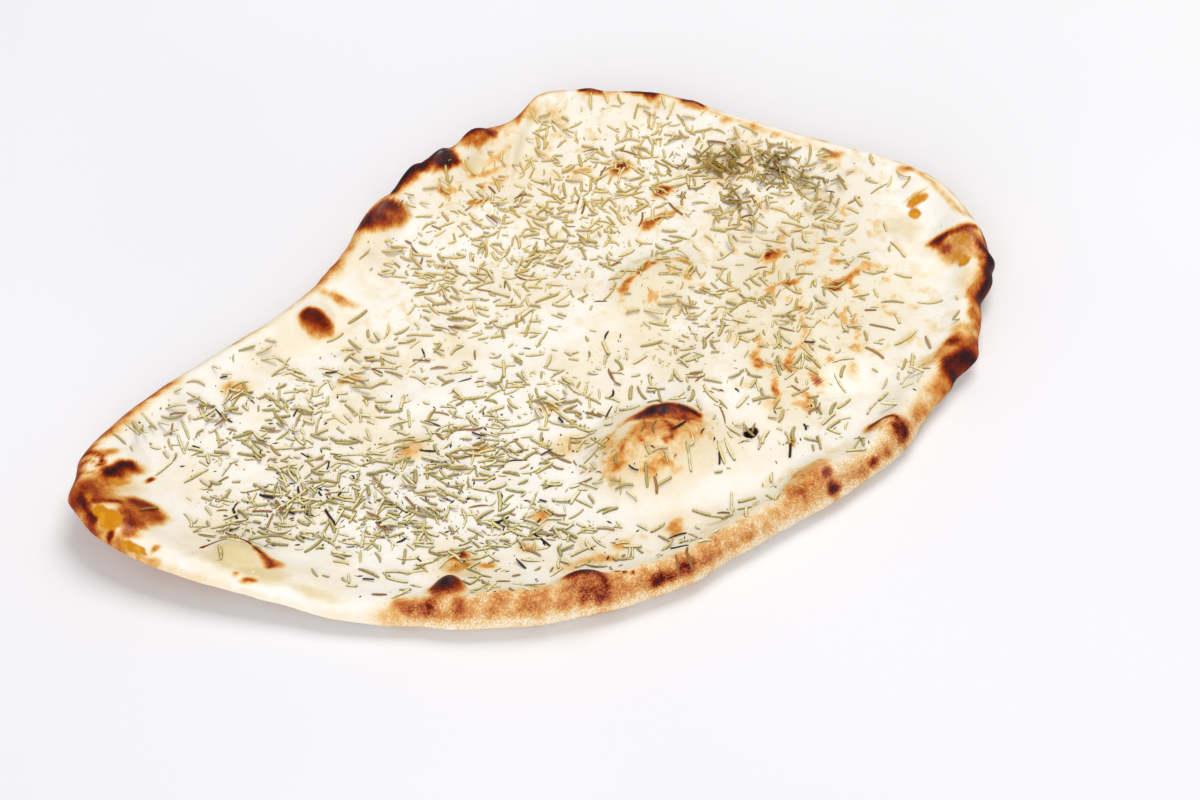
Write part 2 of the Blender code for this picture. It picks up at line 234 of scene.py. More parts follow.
def wobble(x, y, size, seed):
    # Smooth noise between about -1 and 1, with bumps about size across.
    return np.array([noise.noise((px / size, py / size, seed)) for px, py in zip(x, y)])


def bubbleList():
    # Small bubbles all over the upper face, seeded, with more of them near the rim.
    rng = np.random.default_rng(relief["bubbleSeed"])
    far = relief["bubbleShare"]
    found = []
    while len(found) < relief["bubbles"]:
        x = rng.uniform(-bread["length"] / 2, bread["length"] / 2)
        y = rng.uniform(-bread["width"] / 2, bread["width"] / 2)
        share, inset = edgePlace(x, y)
        kept = far + (1.0 - far) * math.exp(-inset / relief["bubbleInset"])
        if share > 1.0 or rng.random() > kept:
            continue
        found.append((x, y, rng.uniform(*relief["bubbleReach"]), rng.uniform(*relief["bubbleHeight"])))
    return found


def fineHeights(x, y):
    # What the relief adds to the upper face.
    _, inset = edgePlace(x, y)
    settled = smoothStep(inset / relief["settledInset"])
    height = np.zeros_like(x)
    for size, amount, seed in relief["unevenness"]:
        height += amount * wobble(x, y, size, seed)
    for px, py, reach, tall in bubbleList():
        near = np.hypot(x - px, y - py) < 3.0 * reach
        height[near] += tall * fallOff(x[near], y[near], px, py, reach)
    for px, py, halfX, halfY, turn, depth in relief["creases"]:
        height -= depth * np.exp(-ovalShare(x, y, px, py, halfX, halfY, turn))
    for px, py, halfX, halfY, turn, tall in relief["lumps"]:
        height += tall * np.exp(-ovalShare(x, y, px, py, halfX, halfY, turn))
    for px, py, radius, depth in relief["pits"]:
        height -= depth * fallOff(x, y, px, py, radius)
    return height * settled


def edgePush(x, y):
    # How far the edge stands out or in there, in the bread's own plane.
    share, inset = edgePlace(x, y)
    push = np.zeros_like(x)
    for size, amount, seed in relief["edgeUnevenness"]:
        push += amount * wobble(x, y, size, seed)
    for px, py, reach, out in relief["edgeBumps"]:
        push += out * fallOff(x, y, px, py, reach)
    return push * np.exp(-((inset / relief["pushInset"]) ** 2))


# The lattice that the bread is shaped from: rings of a grid above, rings below, and a closed floor.
lattice = {
    "rings": 136,
    "rimDepths": (0.0, 0.15, 0.6, 1.3, 2.25, 3.3, 4.5, 5.7, 6.9, 8.1, 9.3),  # inside the edge
    "baseDepths": (0.15, 0.6, 1.3, 2.25, 3.3, 4.5),
    "baseShares": (0.985, 0.95, 0.90, 0.84, 0.78, 0.72, 0.66, 0.45),
}


def latticeBox(name):
    # A square grid whose border is drawn down ring by ring and closed at the bottom.
    across = 2 * lattice["rings"]
    bpy.ops.object.select_all(action="DESELECT")
    bpy.ops.mesh.primitive_grid_add(x_subdivisions=across, y_subdivisions=across, size=2.0)
    piece = bpy.context.object
    piece.name = name
    bpy.ops.object.mode_set(mode="EDIT")
    bpy.ops.mesh.select_mode(type="EDGE")
    bpy.ops.mesh.select_all(action="DESELECT")
    bpy.ops.mesh.select_non_manifold()
    for _ in lattice["baseDepths"] + lattice["baseShares"]:
        bpy.ops.mesh.extrude_edges_move(TRANSFORM_OT_translate={"value": (0.0, 0.0, -1.0)})
    bpy.ops.mesh.edge_face_add()
    bpy.ops.object.mode_set(mode="OBJECT")
    return piece


def turnOf(a, b):
    # A point of the square grid as a share of a turn, so that its rings become the bread's rings.
    wide = np.abs(a) >= np.abs(b)
    ratio = np.where(wide, b / np.where(a == 0, 1, a), a / np.where(b == 0, 1, b))
    eighth = np.where(wide, ratio, -ratio) / 8.0
    start = np.where(wide, np.where(a >= 0, 0.0, 0.5), np.where(b >= 0, 0.25, 0.75))
    return np.mod(start + eighth, 1.0)


def loopAt(turn, values):
    return np.interp(turn, np.arange(len(values)) / len(values), values, period=1.0)


def shapeBread(piece):
    # Moves each vertex of the lattice to its place on the bread.
    mesh = piece.data
    flat = np.empty(len(mesh.vertices) * 3)
    mesh.vertices.foreach_get("co", flat)
    a, b, level = flat.reshape(-1, 3).T
    upper = level > -0.5
    turn = turnOf(a, b)
    edgeX, edgeY = loopAt(turn, edge[:, 0]), loopAt(turn, edge[:, 1])
    reach = np.hypot(edgeX - bread["hub"][0], edgeY - bread["hub"][1])
    across = reach * loopAt(turn, edgeSquare)
    rings, rim = lattice["rings"], np.array(lattice["rimDepths"])
    fromEdge = np.rint(rings * (1.0 - np.maximum(np.abs(a), np.abs(b)))).astype(int)
    inRim = fromEdge < len(rim)
    rimShare = 1.0 - rim[np.clip(fromEdge, 0, len(rim) - 1)] / across
    innerShare = (1.0 - rim[-1] / across) * (rings - fromEdge) / (rings - len(rim) + 1)
    base = np.rint(-level).astype(int)
    depths = np.array((0.0,) + lattice["baseDepths"])
    shares = np.array((1.0,) * len(depths) + lattice["baseShares"])
    baseShare = (1.0 - depths[np.clip(base, 0, len(depths) - 1)] / across) * shares[base]
    share = np.where(upper, np.where(inRim, rimShare, innerShare), baseShare)
    x = bread["hub"][0] + share * (edgeX - bread["hub"][0])
    y = bread["hub"][1] + share * (edgeY - bread["hub"][1])
    top, under = breadFaces(x, y)
    z = np.where(upper, top, under)
    z[upper] += fineHeights(x[upper], y[upper])
    push = edgePush(x, y)
    outX, outY = (edgeX - bread["hub"][0]) / reach, (edgeY - bread["hub"][1]) / reach
    placed = np.stack([x + push * outX, y + push * outY, np.maximum(z, 0.0)], axis=1)
    mesh.vertices.foreach_set("co", (placed * mm).ravel())
    mesh.update()
    return x, y, turn * edgeLength, upper


# Where the oven toasted it: 0 is pale dough, 0.3 tan, 0.5 brown, 0.7 red-brown and 1 black.
toast = {
    "patches": [  # x, y, half length, half width, turn, strength: with a clear edge
        (-17.4, 77.6, 10.2, 4.3, 10, 0.57), (13.6, 93.6, 7, 3, 8, 0.56), (30.2, 99.4, 7.4, 3.3, 6, 0.48),
        (15.6, -53.6, 12.2, 3.6, -26, 0.48), (144.6, -36.6, 6.2, 8, 30, 0.34),
        (-76, -81.4, 5.8, 4.2, -30, 0.5), (40, -99.2, 11, 6, 16, 0.27), (76, -93.4, 6.6, 5, -30, 0.24),
        (-143.4, -10.6, 6.6, 6.2, -20, 0.43), (-60, 43.4, 5.9, 4.3, -30, 0.54),
        (114, -76, 8.5, 6.4, 42, 0.36), (79, 101, 4.6, 2.3, -38, 0.44), (107, 75.8, 5.4, 2.6, -60, 0.4),
    ],
    "tip": [
        (-144.6, 8.8, 3.8, 1.9, -12, 0.7), (-138.2, 10, 3.8, 2.2, 0, 0.48),
        (-146.4, 6.4, 6.6, 2.8, 0, 0.2), (-146, 3, 9, 4, 0, 0.12), (-144.6, 16.3, 4.4, 2, 0, 0.46),
        (-146.3, 12.8, 0.9, 0.8, 0, 0.85), (-148.6, 11.2, 1.4, 0.7, 20, 0.62),
        (-156.4, 1.4, 4.6, 6.4, 0, 0.46), (-152.4, 3.6, 5, 4, 0, 0.34), (-142, -6.2, 4.8, 2.4, -20, 0.54),
        (-149.2, -13.6, 2.4, 3.6, 0, 0.5), (-148.2, -16.6, 4, 2.4, -20, 0.5),
        (-155.6, -15.8, 1.3, 1.2, 0, 0.82), (-150.8, -19.2, 3.4, 1.5, -35, 0.52),
        (-150, -6, 9, 14, 10, 0.13), (-151.6, -2, 4.6, 2.6, -20, 0.3), (-145.7, -27.2, 1.7, 1.1, 0, 0.46),
        (-135.1, 5.6, 1.9, 0.9, 30, 0.86), (-139.4, -11.6, 4, 3.4, -20, 0.28),
    ],
    "leftBlister": [
        (-115.4, -45.8, 2.3, 2.6, 0, 0.36), (-128.4, -46.3, 1.3, 1, 0, 0.5),
        (-126, -50.2, 2.8, 1, -30, 0.58), (-118, -48, 7, 5, -50, 0.1),
    ],
    "beads": [
        (-23.6, 78, 3.4, 3.2, 20, 0.58), (-14.8, 80, 5.6, 1.9, 2, 0.6), (-19.4, 76.6, 2.4, 1.6, 0, 0.46),
        (13.4, 95, 5.4, 1.9, 5, 0.95), (14.4, 92.6, 4.4, 1.9, 8, 0.74), (7.2, 93.8, 3.2, 1.5, 20, 0.66),
        (30.2, 101.6, 6.6, 2.2, 8, 0.7), (36.6, 99.8, 2.2, 2, 0, 0.6), (-60.2, 44.6, 4.2, 2.3, -30, 0.74),
        (19.4, 93.2, 1.3, 1.4, 0, 0.34),
    ],
    "centreBubble": [
        (13, -59.8, 10, 4.4, -28, 0.22), (5.6, -57.6, 5, 4, -20, 0.24), (-4.6, -52.8, 4, 3.4, 60, 0.2),
        (-6.6, -62.6, 3.4, 3, 0, 0.28), (8, -65, 20, 12, 0, 0.18), (24, -60.6, 4.4, 2.6, -30, 0.2),
        (-2, -60, 7, 5, 0, 0.12), (14, -64, 8, 4, -20, 0.08), (2, -70, 5, 3, 0, 0.14),
        (12, -52.4, 2, 1.4, 0, 0.45), (17.4, -53.6, 2.2, 1.3, -20, 0.55),
        (22.4, -55.4, 1.8, 1.2, -30, 0.45),
    ],
    "frontRim": [
        (-76, -81, 4.6, 2.7, -35, 0.93), (-85.2, -85.2, 2.8, 2.4, 50, 0.48),
        (-76.4, -90.2, 2.6, 2.2, 50, 0.42), (-89.6, -80.4, 4, 2.4, -40, 0.36),
        (-82, -84, 3.4, 2.6, 0, 0.26), (-66, -95, 3.4, 2.4, 20, 0.16), (-59, -100, 2.8, 2.2, -30, 0.18),
        (-53, -100.6, 3.6, 2, 20, 0.14), (-48.6, -104, 2.2, 2.6, 10, 0.18),
        (-43.8, -103.1, 3.6, 2.6, 0, 0.2), (-40.2, -106, 2.8, 1.8, 0, 0.34),
        (-40.4, -101, 4.8, 2.8, -15, 0.68), (-43.6, -107.6, 1.6, 1, 0, 0.3),
        (-28.5, -107, 3.4, 3, 0, 0.14), (-24, -110, 3.4, 2, 0, 0.16), (-30, -91, 8, 2, -20, 0.26),
        (-20.3, -89.4, 3.4, 2, 0, 0.34), (-39, -90, 5, 2, -20, 0.2), (44.6, -97.4, 4.4, 3, 20, 0.12),
        (47.6, -105.4, 2.4, 1.4, -5, 0.96), (46.8, -101.4, 2.1, 1.5, 0, 0.66), (65, -102, 2, 1.2, 0, 0.5),
        (61.4, -104, 2.6, 1, 0, 0.4), (71.8, -89.6, 2.8, 2.6, 30, 0.44), (77, -96.6, 2.6, 1.5, -40, 0.56),
        (-29.8, -103.1, 0.9, 0.7, 0, 0.8), (-28, -104.7, 0.8, 0.6, 0, 0.8),
        (-25.7, -106.1, 0.9, 0.6, 0, 0.75),
    ],
    "right": [
        (141.4, -28.4, 3, 1.9, 20, 0.66), (141.4, -33, 1.8, 2.6, 0, 0.52),
        (149.4, -35.4, 2.6, 3.6, 20, 0.38), (150.6, -40.6, 2, 2.4, 0, 0.86),
        (134.6, -55.6, 2.4, 1.4, 40, 0.4), (116.8, -71.4, 3.4, 2.6, 30, 0.56),
        (108.4, -79.2, 3.6, 2.4, 30, 0.6), (112, -80, 6, 3, 30, 0.36), (105.5, -73.5, 4, 3, 30, 0.24),
        (122, -68, 4, 3, 40, 0.26), (152.6, 7.4, 3.4, 2, -30, 0.34), (136.6, 28.6, 3.4, 1.8, -40, 0.46),
        (124.2, 47.2, 1.8, 1.5, 0, 0.2), (119.4, 54.6, 2.4, 1.6, -50, 0.2),
        (113, 62.6, 2.4, 1.6, -50, 0.24), (148.2, -5.2, 4, 0.7, -8, 0.4), (138, -52, 5, 7, -30, 0.16),
        (98, 88, 6, 3, 130, 0.2), (84, 98, 5, 3, 140, 0.22),
    ],
    "spots": [
        (-67, -71.8, 5.6, 3.6, 0, 0.34), (-66, -69.8, 2.8, 1.2, -10, 0.75),
        (-59.5, -76.5, 3.2, 1.8, -20, 0.38), (-36.3, -67, 3.6, 3, 0, 0.42),
        (-46, -76, 3.4, 2.4, -20, 0.28), (-57.8, -20.8, 7, 5, 20, 0.24), (-38, -31, 3, 2.4, 0, 0.38),
        (-60.5, 17.2, 3.6, 2.8, 0, 0.44), (70.6, 66, 4.6, 3.4, 0, 0.68),
        (58.4, 73.4, 4.6, 1.7, -20, 0.36), (77.2, 47, 3.6, 3, 0, 0.68), (64, 35.7, 3.6, 2.6, 20, 0.56),
        (69, 36.5, 3.4, 1.6, 10, 0.48), (74, 36, 3, 1.4, 0, 0.36), (89.8, -4, 4.4, 3.4, 0, 0.52),
        (86.5, -19, 4.2, 1.8, -20, 0.42), (97.8, -14.5, 3.2, 2.2, 0, 0.3),
        (100.3, -27.6, 3, 2.2, 20, 0.46), (106, -27, 5, 1.8, 12, 0.38), (114, -26, 3.4, 2, 0, 0.34),
        (-10, -26.4, 3, 2.6, 0, 0.4), (-2, -91, 3.4, 2.4, 20, 0.44), (-95.5, 29.7, 4.6, 2.8, -30, 0.38),
        (-47.8, 50.8, 6.5, 2, -40, 0.38), (17.6, 73.4, 3.2, 2.4, 0, 0.42), (34, 92, 9, 2, 10, 0.24),
        (28, 87, 9, 1.6, -5, 0.28), (57.6, -43.9, 5, 2.1, 60, 0.4), (57.8, -55.2, 6.3, 1.3, 60, 0.36),
        (67.8, -48.5, 3.2, 1.8, 60, 0.42), (62.4, -67.7, 4.6, 1.9, 60, 0.32),
        (48.8, -78.5, 2.6, 1.3, 60, 0.5), (69.6, -61.3, 1.8, 1.1, 40, 0.5),
        (74.5, -47.2, 5, 2.8, 60, 0.2), (90.7, -54, 3.4, 2.4, 60, 0.2), (63.7, -36.8, 5, 1.4, 60, 0.26),
        (80, -38, 5, 1.5, 60, 0.28), (72.6, -57, 5, 1.2, 60, 0.24), (53.4, -64, 6, 1.3, 60, 0.2),
        (84, -62, 5, 1.4, 60, 0.22), (78.7, -55.9, 2, 1.3, 50, 0.36), (97, -44, 4, 1.6, 60, 0.24),
        (-11.8, -42.7, 7, 5, 0, 0.2), (62.4, 99.5, 3, 3.6, 0, 0.26), (54.5, 102.5, 5, 2.4, 20, 0.2),
        (8.6, 84, 1.6, 4, 0, 0.3), (12, 84.5, 1.4, 3.6, 0, 0.26), (84, -30, 4, 1.8, 60, 0.26),
        (94.6, 86.6, 2.4, 1.3, -60, 0.44), (96, 82.6, 1.5, 1.1, 0, 0.34), (-86, 47.6, 3.4, 1.8, 30, 0.3),
        (39.4, 8.4, 3.6, 2.2, 20, 0.34), (49.3, 12.4, 3.6, 2.2, 30, 0.34), (59.9, 3.2, 3.6, 2.6, 0, 0.22),
        (104, 46, 14, 11, 0, 0.15),
    ],
    "lines": [  # points along a toasted line, its half width, strength
        ([(34, 3), (37, 6.5), (41, 9.5), (48, 11.5), (58, 11.6), (64, 8)], 1.5, 0.20),
        ([(-44, -99.6), (-41, -99.8), (-38.4, -101), (-36.4, -103.2), (-35.8, -106), (-36, -108),
          (-37.8, -109)], 2.0, 0.70),
        ([(-21, -111.3), (-15.5, -111.3), (-11, -111), (-7.4, -110.6)], 1.2, 0.58),
        ([(72.6, -88), (75.6, -90.4), (78.6, -93.4), (80, -96.4), (79.4, -98.6)], 1.1, 0.72),
        ([(-9.6, 88.8), (-6, 91.4), (-2, 93), (2, 93.4), (6, 94)], 1.5, 0.95),
        ([(-11, 85.6), (-7.6, 88.4), (-3, 90.4), (1.6, 91.2)], 1.7, 0.34),
        ([(90.4, 95.2), (92.6, 93.2), (95, 90.4), (97, 87)], 1.6, 0.97),
        ([(75.6, 103.6), (78.6, 102.8), (81.6, 101)], 1.2, 0.84),
        ([(105, 79.4), (107.6, 77.4), (109.4, 73.6)], 1.2, 0.80),
        ([(109.6, 71), (113.8, 63.1), (119.3, 55.5)], 1.0, 0.22),
        ([(119.3, 55.5), (124.6, 47.8), (129.8, 39.9), (134.3, 33.8)], 1.0, 0.15),
        ([(153.6, 7), (155.4, 3.2), (155.9, -3), (155.4, -12.6), (154.4, -20), (154.2, -26)], 1.0, 0.28),
        ([(151.6, -42), (149, -46.4), (145.6, -49.6), (143, -53.4), (139.4, -57)], 1.3, 0.96),
        ([(147.6, -44), (143.8, -48.6), (139.6, -53.4), (134.6, -58.2), (129.6, -63.6)], 1.3, 0.36),
        ([(-147.6, 7.8), (-144.8, 9.4), (-141.6, 10.8), (-138.6, 10.4)], 1.5, 0.88),
        ([(-159.2, 0.6), (-158.8, -4.2), (-157.6, -9.2)], 1.2, 0.80),
        ([(-155.6, -3.8), (-152.4, -5.4), (-149, -6.6)], 1.4, 0.60),
        ([(9.0, -50.8), (14.6, -50.2), (20, -52.0), (24.6, -54.4), (27.2, -57)], 1.7, 0.78),
        ([(139.6, -26.6), (142.4, -27), (144.9, -27.9), (146.8, -29.7), (149.3, -31.6), (152.4, -33.4)],
         1.4, 0.72),
        ([(-118.8, -39.6), (-117.4, -43), (-117.4, -46.4)], 1.5, 0.68),
        ([(-150, 20), (-146, 15), (-147, 11)], 0.8, 0.45), ([(-153, 16), (-149, 12.6)], 0.7, 0.45),
        ([(-152, 19.4), (-147.4, 17)], 0.6, 0.40), ([(-154.6, 10.4), (-151, 8.4)], 0.7, 0.40),
    ],
    "rim": [  # x, y, reach along the edge, depth inside the edge, strength
        (-96, -79, 5, 3.4, 0.14), (-91, -83, 6, 7, 0.3), (-84, -88, 7, 8, 0.32), (-76, -93, 7, 8, 0.28),
        (-67, -98, 8, 8, 0.28), (-60, -102, 7, 8.5, 0.26), (-51, -106, 8, 8.5, 0.28),
        (-42, -109, 6, 9, 0.3), (-32, -111, 5, 8, 0.4), (-21, -113, 5.5, 6.8, 0.43),
        (-11, -113, 5, 6.4, 0.43), (-2, -112, 6, 6.6, 0.41), (9, -111, 8, 6.6, 0.39),
        (23, -110, 8, 5.8, 0.36), (37, -109, 8, 5.8, 0.35), (49, -108, 6, 5.6, 0.34),
        (60, -105, 6, 5, 0.42), (71, -102, 6, 5, 0.44), (81, -98, 5, 5.5, 0.45), (91, -92, 7, 4.5, 0.42),
        (102, -87, 5, 5, 0.46), (110, -83, 4, 4.6, 0.88), (118, -78.5, 5, 4.6, 0.93),
        (125, -73, 4, 3.6, 0.6), (132, -66, 6, 4.2, 0.52), (140, -59, 5, 2.6, 0.84),
        (147, -51, 4, 2.3, 0.95), (152, -45, 4, 2.5, 0.96), (156, -36, 4.5, 3, 0.88),
        (160, -25, 4.6, 3.2, 0.5), (162, -12, 7, 3.6, 0.28), (161, 1, 6, 3.6, 0.28),
        (157, 13, 4, 3.6, 0.42), (150, 25, 6, 2.6, 0.28), (142, 38, 4, 3.8, 0.4), (134, 48, 6, 3, 0.26),
        (125, 60, 5, 3.2, 0.26), (117, 72, 5, 3.6, 0.3), (109.5, 83.5, 3.8, 5.2, 0.8),
        (104, 90, 3.4, 4.4, 0.48), (98.6, 96.4, 3.9, 4.8, 0.98), (91, 102, 3.4, 4.4, 0.44),
        (82.8, 107.6, 3.6, 5.2, 0.86), (73, 113, 4, 4.6, 0.46), (65, 114, 5, 4.4, 0.7),
        (55, 110, 6, 4.4, 0.74), (44, 108, 6, 4.4, 0.72), (34, 108, 4.6, 5, 0.8), (19, 103.6, 5, 5, 0.9),
        (9, 101, 4, 5.4, 0.85), (1, 98.6, 5, 5.4, 0.95), (-7, 94, 4.4, 5.4, 0.9), (-14, 91, 4, 5, 0.7),
        (-27, 83, 5, 5.4, 0.52), (-35, 76, 5, 5, 0.44), (-43, 69, 6, 5, 0.5), (-51, 63, 7, 4.2, 0.42),
        (-62, 58, 9, 3.2, 0.26), (-82, 52, 6, 3.6, 0.34), (-94, 48.6, 10, 2.4, 0.18),
        (-108, 44, 7, 2.6, 0.2), (-119, 40.6, 5, 4.4, 0.58), (-127, 37, 6, 4.6, 0.7),
        (-136, 32, 6, 4.8, 0.56), (-144, 26, 6, 6, 0.52), (-151, 19, 5, 4.4, 0.66),
        (-156, 11, 5, 3.4, 0.7), (-160, 2, 5, 3.6, 0.62), (-158.5, -9, 5, 2, 0.54),
        (-154.6, -19, 6, 1.5, 0.42), (-149, -29, 6, 1.3, 0.34), (-140, -40, 10, 1, 0.12),
        (-125, -55, 14, 0.9, 0.07), (-107, -71, 9, 1.2, 0.07),
    ],
    "golden": [  # x, y, half length, half width, turn, how speckled with gold
        (92, -18, 36, 28, 60, 0.8), (60, 88, 44, 18, 10, 0.36), (108, -50, 24, 18, 40, 0.6),
        (22, 86, 26, 10, 15, 0.6), (-28, -88, 34, 8, -5, 0.5), (30, -96, 40, 8, 5, 0.6),
        (128, 8, 18, 30, -30, 0.5), (8, -60, 22, 14, 0, 0.9), (50, 6, 20, 14, 15, 0.8),
        (62, -56, 14, 22, 0, 0.8), (70, 30, 80, 80, 0, 0.28), (-40, 30, 50, 26, 20, 0.3),
        (-90, -10, 50, 30, -30, 0.15),
    ],
    "thinLine": [  # points along the scorched hairline round a blister
        (-133, -30), (-131, -29.2), (-128.4, -30), (-125, -30.8), (-122, -32), (-120, -34.6), (-119, -38),
        (-118, -41),
    ],
    # The pit's hollow is painted near black: painted shade.
    "pit": (39.8, -68.6, 2.0),  # x, y, radius
    "sandy": [  # x, y, reach
        (-72, -94, 26), (-40, -107, 26), (-8, -111, 26), (28, -108, 26), (70, -101, 20),
    ],
    "under": 0.22,
    "rough": [  # how far marks are pushed, bump size, seeds
        (1.0, 5.0, 31.0, 41.0), (0.6, 2.2, 37.0, 43.0),
    ],
    "soft": [(0.5, 2.4, 37.0, 43.0)],
    "rimPush": (1.5, 6.0, 67.0),  # along the edge: how far, bump size, seed
    "rimDepthPush": (0.9, 4.0, 53.0),
    "streaks": (0.7, 3.0, 4.0, 61.0),  # how far, length along the edge, depth, seed
    "blotches": [  # share, length along the edge, depth, seed
        (1.0, 4.0, 3.4, 71.0), (0.6, 1.8, 1.6, 73.0),
    ],
    "blotched": 0.38,
    "blotchReach": 9.0,
    "paleLip": (0.6, 0.8),  # share, reach inside the edge
    "sandyReach": 11.0,
    "farAway": 9.0,  # past this, a distance to the thin line or the pit no longer matters
    "herbReach": 2.2,
}

# Where butter soaked in or the wall of a blister is thin: the dough looks amber and wet there.
butter = [
    (-125.4, -39.4, 9, 7.5, -20, 0.9), (-121, -50, 9, 4, -45, 0.75), (-136, -33, 8, 4, -50, 0.3),
    (137, -14, 9, 9, 0, 0.6), (140, -30, 6, 5, 0, 0.4), (26, 92, 6, 3, 10, 0.6),
    (-66, -75, 7, 3.4, -20, 0.7), (118, 10, 8, 5, 0, 0.5), (-90, -84, 4, 2, -40, 0.5),
    (38, -98, 9, 4, 15, 0.4), (-146, 2.6, 7, 3, 0, 0.6), (-110.5, -63, 10, 2.2, -45, 0.6),
]
amber = [
    (-153.8, -12, 3.2, 4, 20, 1), (-155.6, -7.6, 2, 2.2, 0, 0.85), (-157, -1.6, 1.6, 2.6, 0, 0.55),
    (-150.6, 0.4, 3.4, 1.6, -15, 0.5), (-152.2, -21.8, 3.2, 1.1, -60, 0.95),
    (-149.8, -25.4, 2.8, 0.9, -58, 0.85), (142, -42.4, 3, 2.4, 60, 0.8), (141.4, -38.4, 2.4, 2, 30, 0.6),
    (147.8, -7.2, 4.8, 1.9, -12, 0.8), (144.4, -10.9, 2.5, 2.4, 0, 1), (15.6, 75.5, 2.8, 2.2, 0, 0.75),
    (-66.8, -73.4, 5, 1.6, -5, 0.6), (-59.5, -76.8, 3, 1.2, -20, 0.5), (38.6, -101.4, 5, 2, 20, 0.4),
    (-144.6, 5.2, 4.4, 1.9, 0, 0.55), (143.4, -31.4, 3, 1.6, 0, 0.4), (146.4, -35.6, 3, 4.4, 20, 0.55),
]

# Where the surface shines: oiled dough and the taut skin of burst blisters.
gloss = [
    (13.6, 94.2, 5, 3, 20, 1), (-17, 78, 8, 5, 0, 0.6), (144, -37, 7, 6, 0, 1), (-38, -100, 4, 5, 0, 0.6),
    (46.5, -101.5, 3, 3, 0, 1), (74, -68, 18, 12, 30, 0.7), (17.5, -54, 8, 4, -28, 0.3),
    (-152, -17.6, 2.6, 2.6, 0, 0.9), (-126, -41, 10, 8, 0, 0.6), (60, 20, 20, 12, 0, 0.4),
    (-75, -80, 5, 4, 0, 0.4),
]


def screened(shares):
    # Several toasted places together: each browns what the others left pale.
    left = 1.0
    for share in shares:
        left = left * (1.0 - share)
    return 1.0 - left


def ovalMarks(x, y, marks, crisp=1.6):
    # Toasted ovals: the crisper, the clearer their edge.
    return [strength * np.exp(-(ovalShare(x, y, *oval) ** crisp)) for *oval, strength in marks]


def rimMarks(around, depth, marks):
    # Toasted stretches of the edge, each measured along the edge and into the bread.
    alongEdge = np.arange(len(edge)) / len(edge) * edgeLength
    shares = []
    for px, py, reach, deep, strength in marks:
        gap = np.abs(around - alongEdge[np.hypot(edge[:, 0] - px, edge[:, 1] - py).argmin()])
        gap = np.minimum(gap, edgeLength - gap)
        shares.append(strength * np.exp(-((gap / reach) ** 2)) * np.exp(-((depth / deep) ** 3)))
    return shares


def strokeDistance(x, y, line):
    # The distance from each point to a bent line.
    nearest = np.full_like(x, 1e3)
    for (ax, ay), (bx, by) in zip(line, line[1:]):
        runX, runY = bx - ax, by - ay
        t = np.clip(((x - ax) * runX + (y - ay) * runY) / (runX**2 + runY**2), 0.0, 1.0)
        nearest = np.minimum(nearest, np.hypot(x - ax - t * runX, y - ay - t * runY))
    return nearest


def addAttribute(mesh, name, values):
    layer = mesh.attributes.new(name, "FLOAT", "POINT")
    layer.data.foreach_set("value", np.ascontiguousarray(values, dtype=np.float32))


def herbNearness(x, y, needles):
    # 1 under a needle, fading within a few millimetres of it: there the dough gets an oil stain and
    # painted shade from the needles.
    tree = KDTree(len(needles) * 3)
    for needle in needles:
        heading, length = needle["heading"], needle["length"]
        for k, along in enumerate((-0.33, 0.0, 0.33)):
            nearX = needle["x"] + along * length * math.cos(heading)
            nearY = needle["y"] + along * length * math.sin(heading)
            tree.insert((nearX, nearY, 0.0), k)
    tree.balance()
    away = np.array([tree.find((px, py, 0.0))[2] for px, py in zip(x, y)])
    return np.exp(-((away / toast["herbReach"]) ** 2))


def warped(x, y, pushes):
    # The same places pushed about by smooth noise, so that marks lose their even outlines.
    warpX, warpY = x, y
    for far, size, seedX, seedY in pushes:
        warpX = warpX + far * wobble(x, y, size, seedX)
        warpY = warpY + far * wobble(x, y, size, seedY)
    return warpX, warpY


def rimToast(x, y, around, inset):
    # The toasted stretches of the edge, streaked inwards.
    far, size, seed = toast["rimPush"]
    along = around + far * wobble(x, y, size, seed)
    far, size, seed = toast["rimDepthPush"]
    depth = inset + far * wobble(x, y, size, seed)
    far, length, deep, seed = toast["streaks"]
    depth = depth + far * wobble(around / length, inset / deep, 1.0, seed)
    return rimMarks(along, np.maximum(depth, 0.0), toast["rim"])


def sandyRim(toasted, around, inset, sandy):
    # The front of the rim: browned in round blotches, and paler at its very lip.
    blotches = 0.0
    for share, length, deep, seed in toast["blotches"]:
        blotches = blotches + share * wobble(around / length, inset / deep, 1.0, seed)
    fade = np.exp(-((inset / toast["blotchReach"]) ** 3))
    toasted = toasted * (1.0 + toast["blotched"] * blotches * sandy * fade)
    share, reach = toast["paleLip"]
    return toasted * (1.0 - share * sandy * np.exp(-((inset / reach) ** 2)))


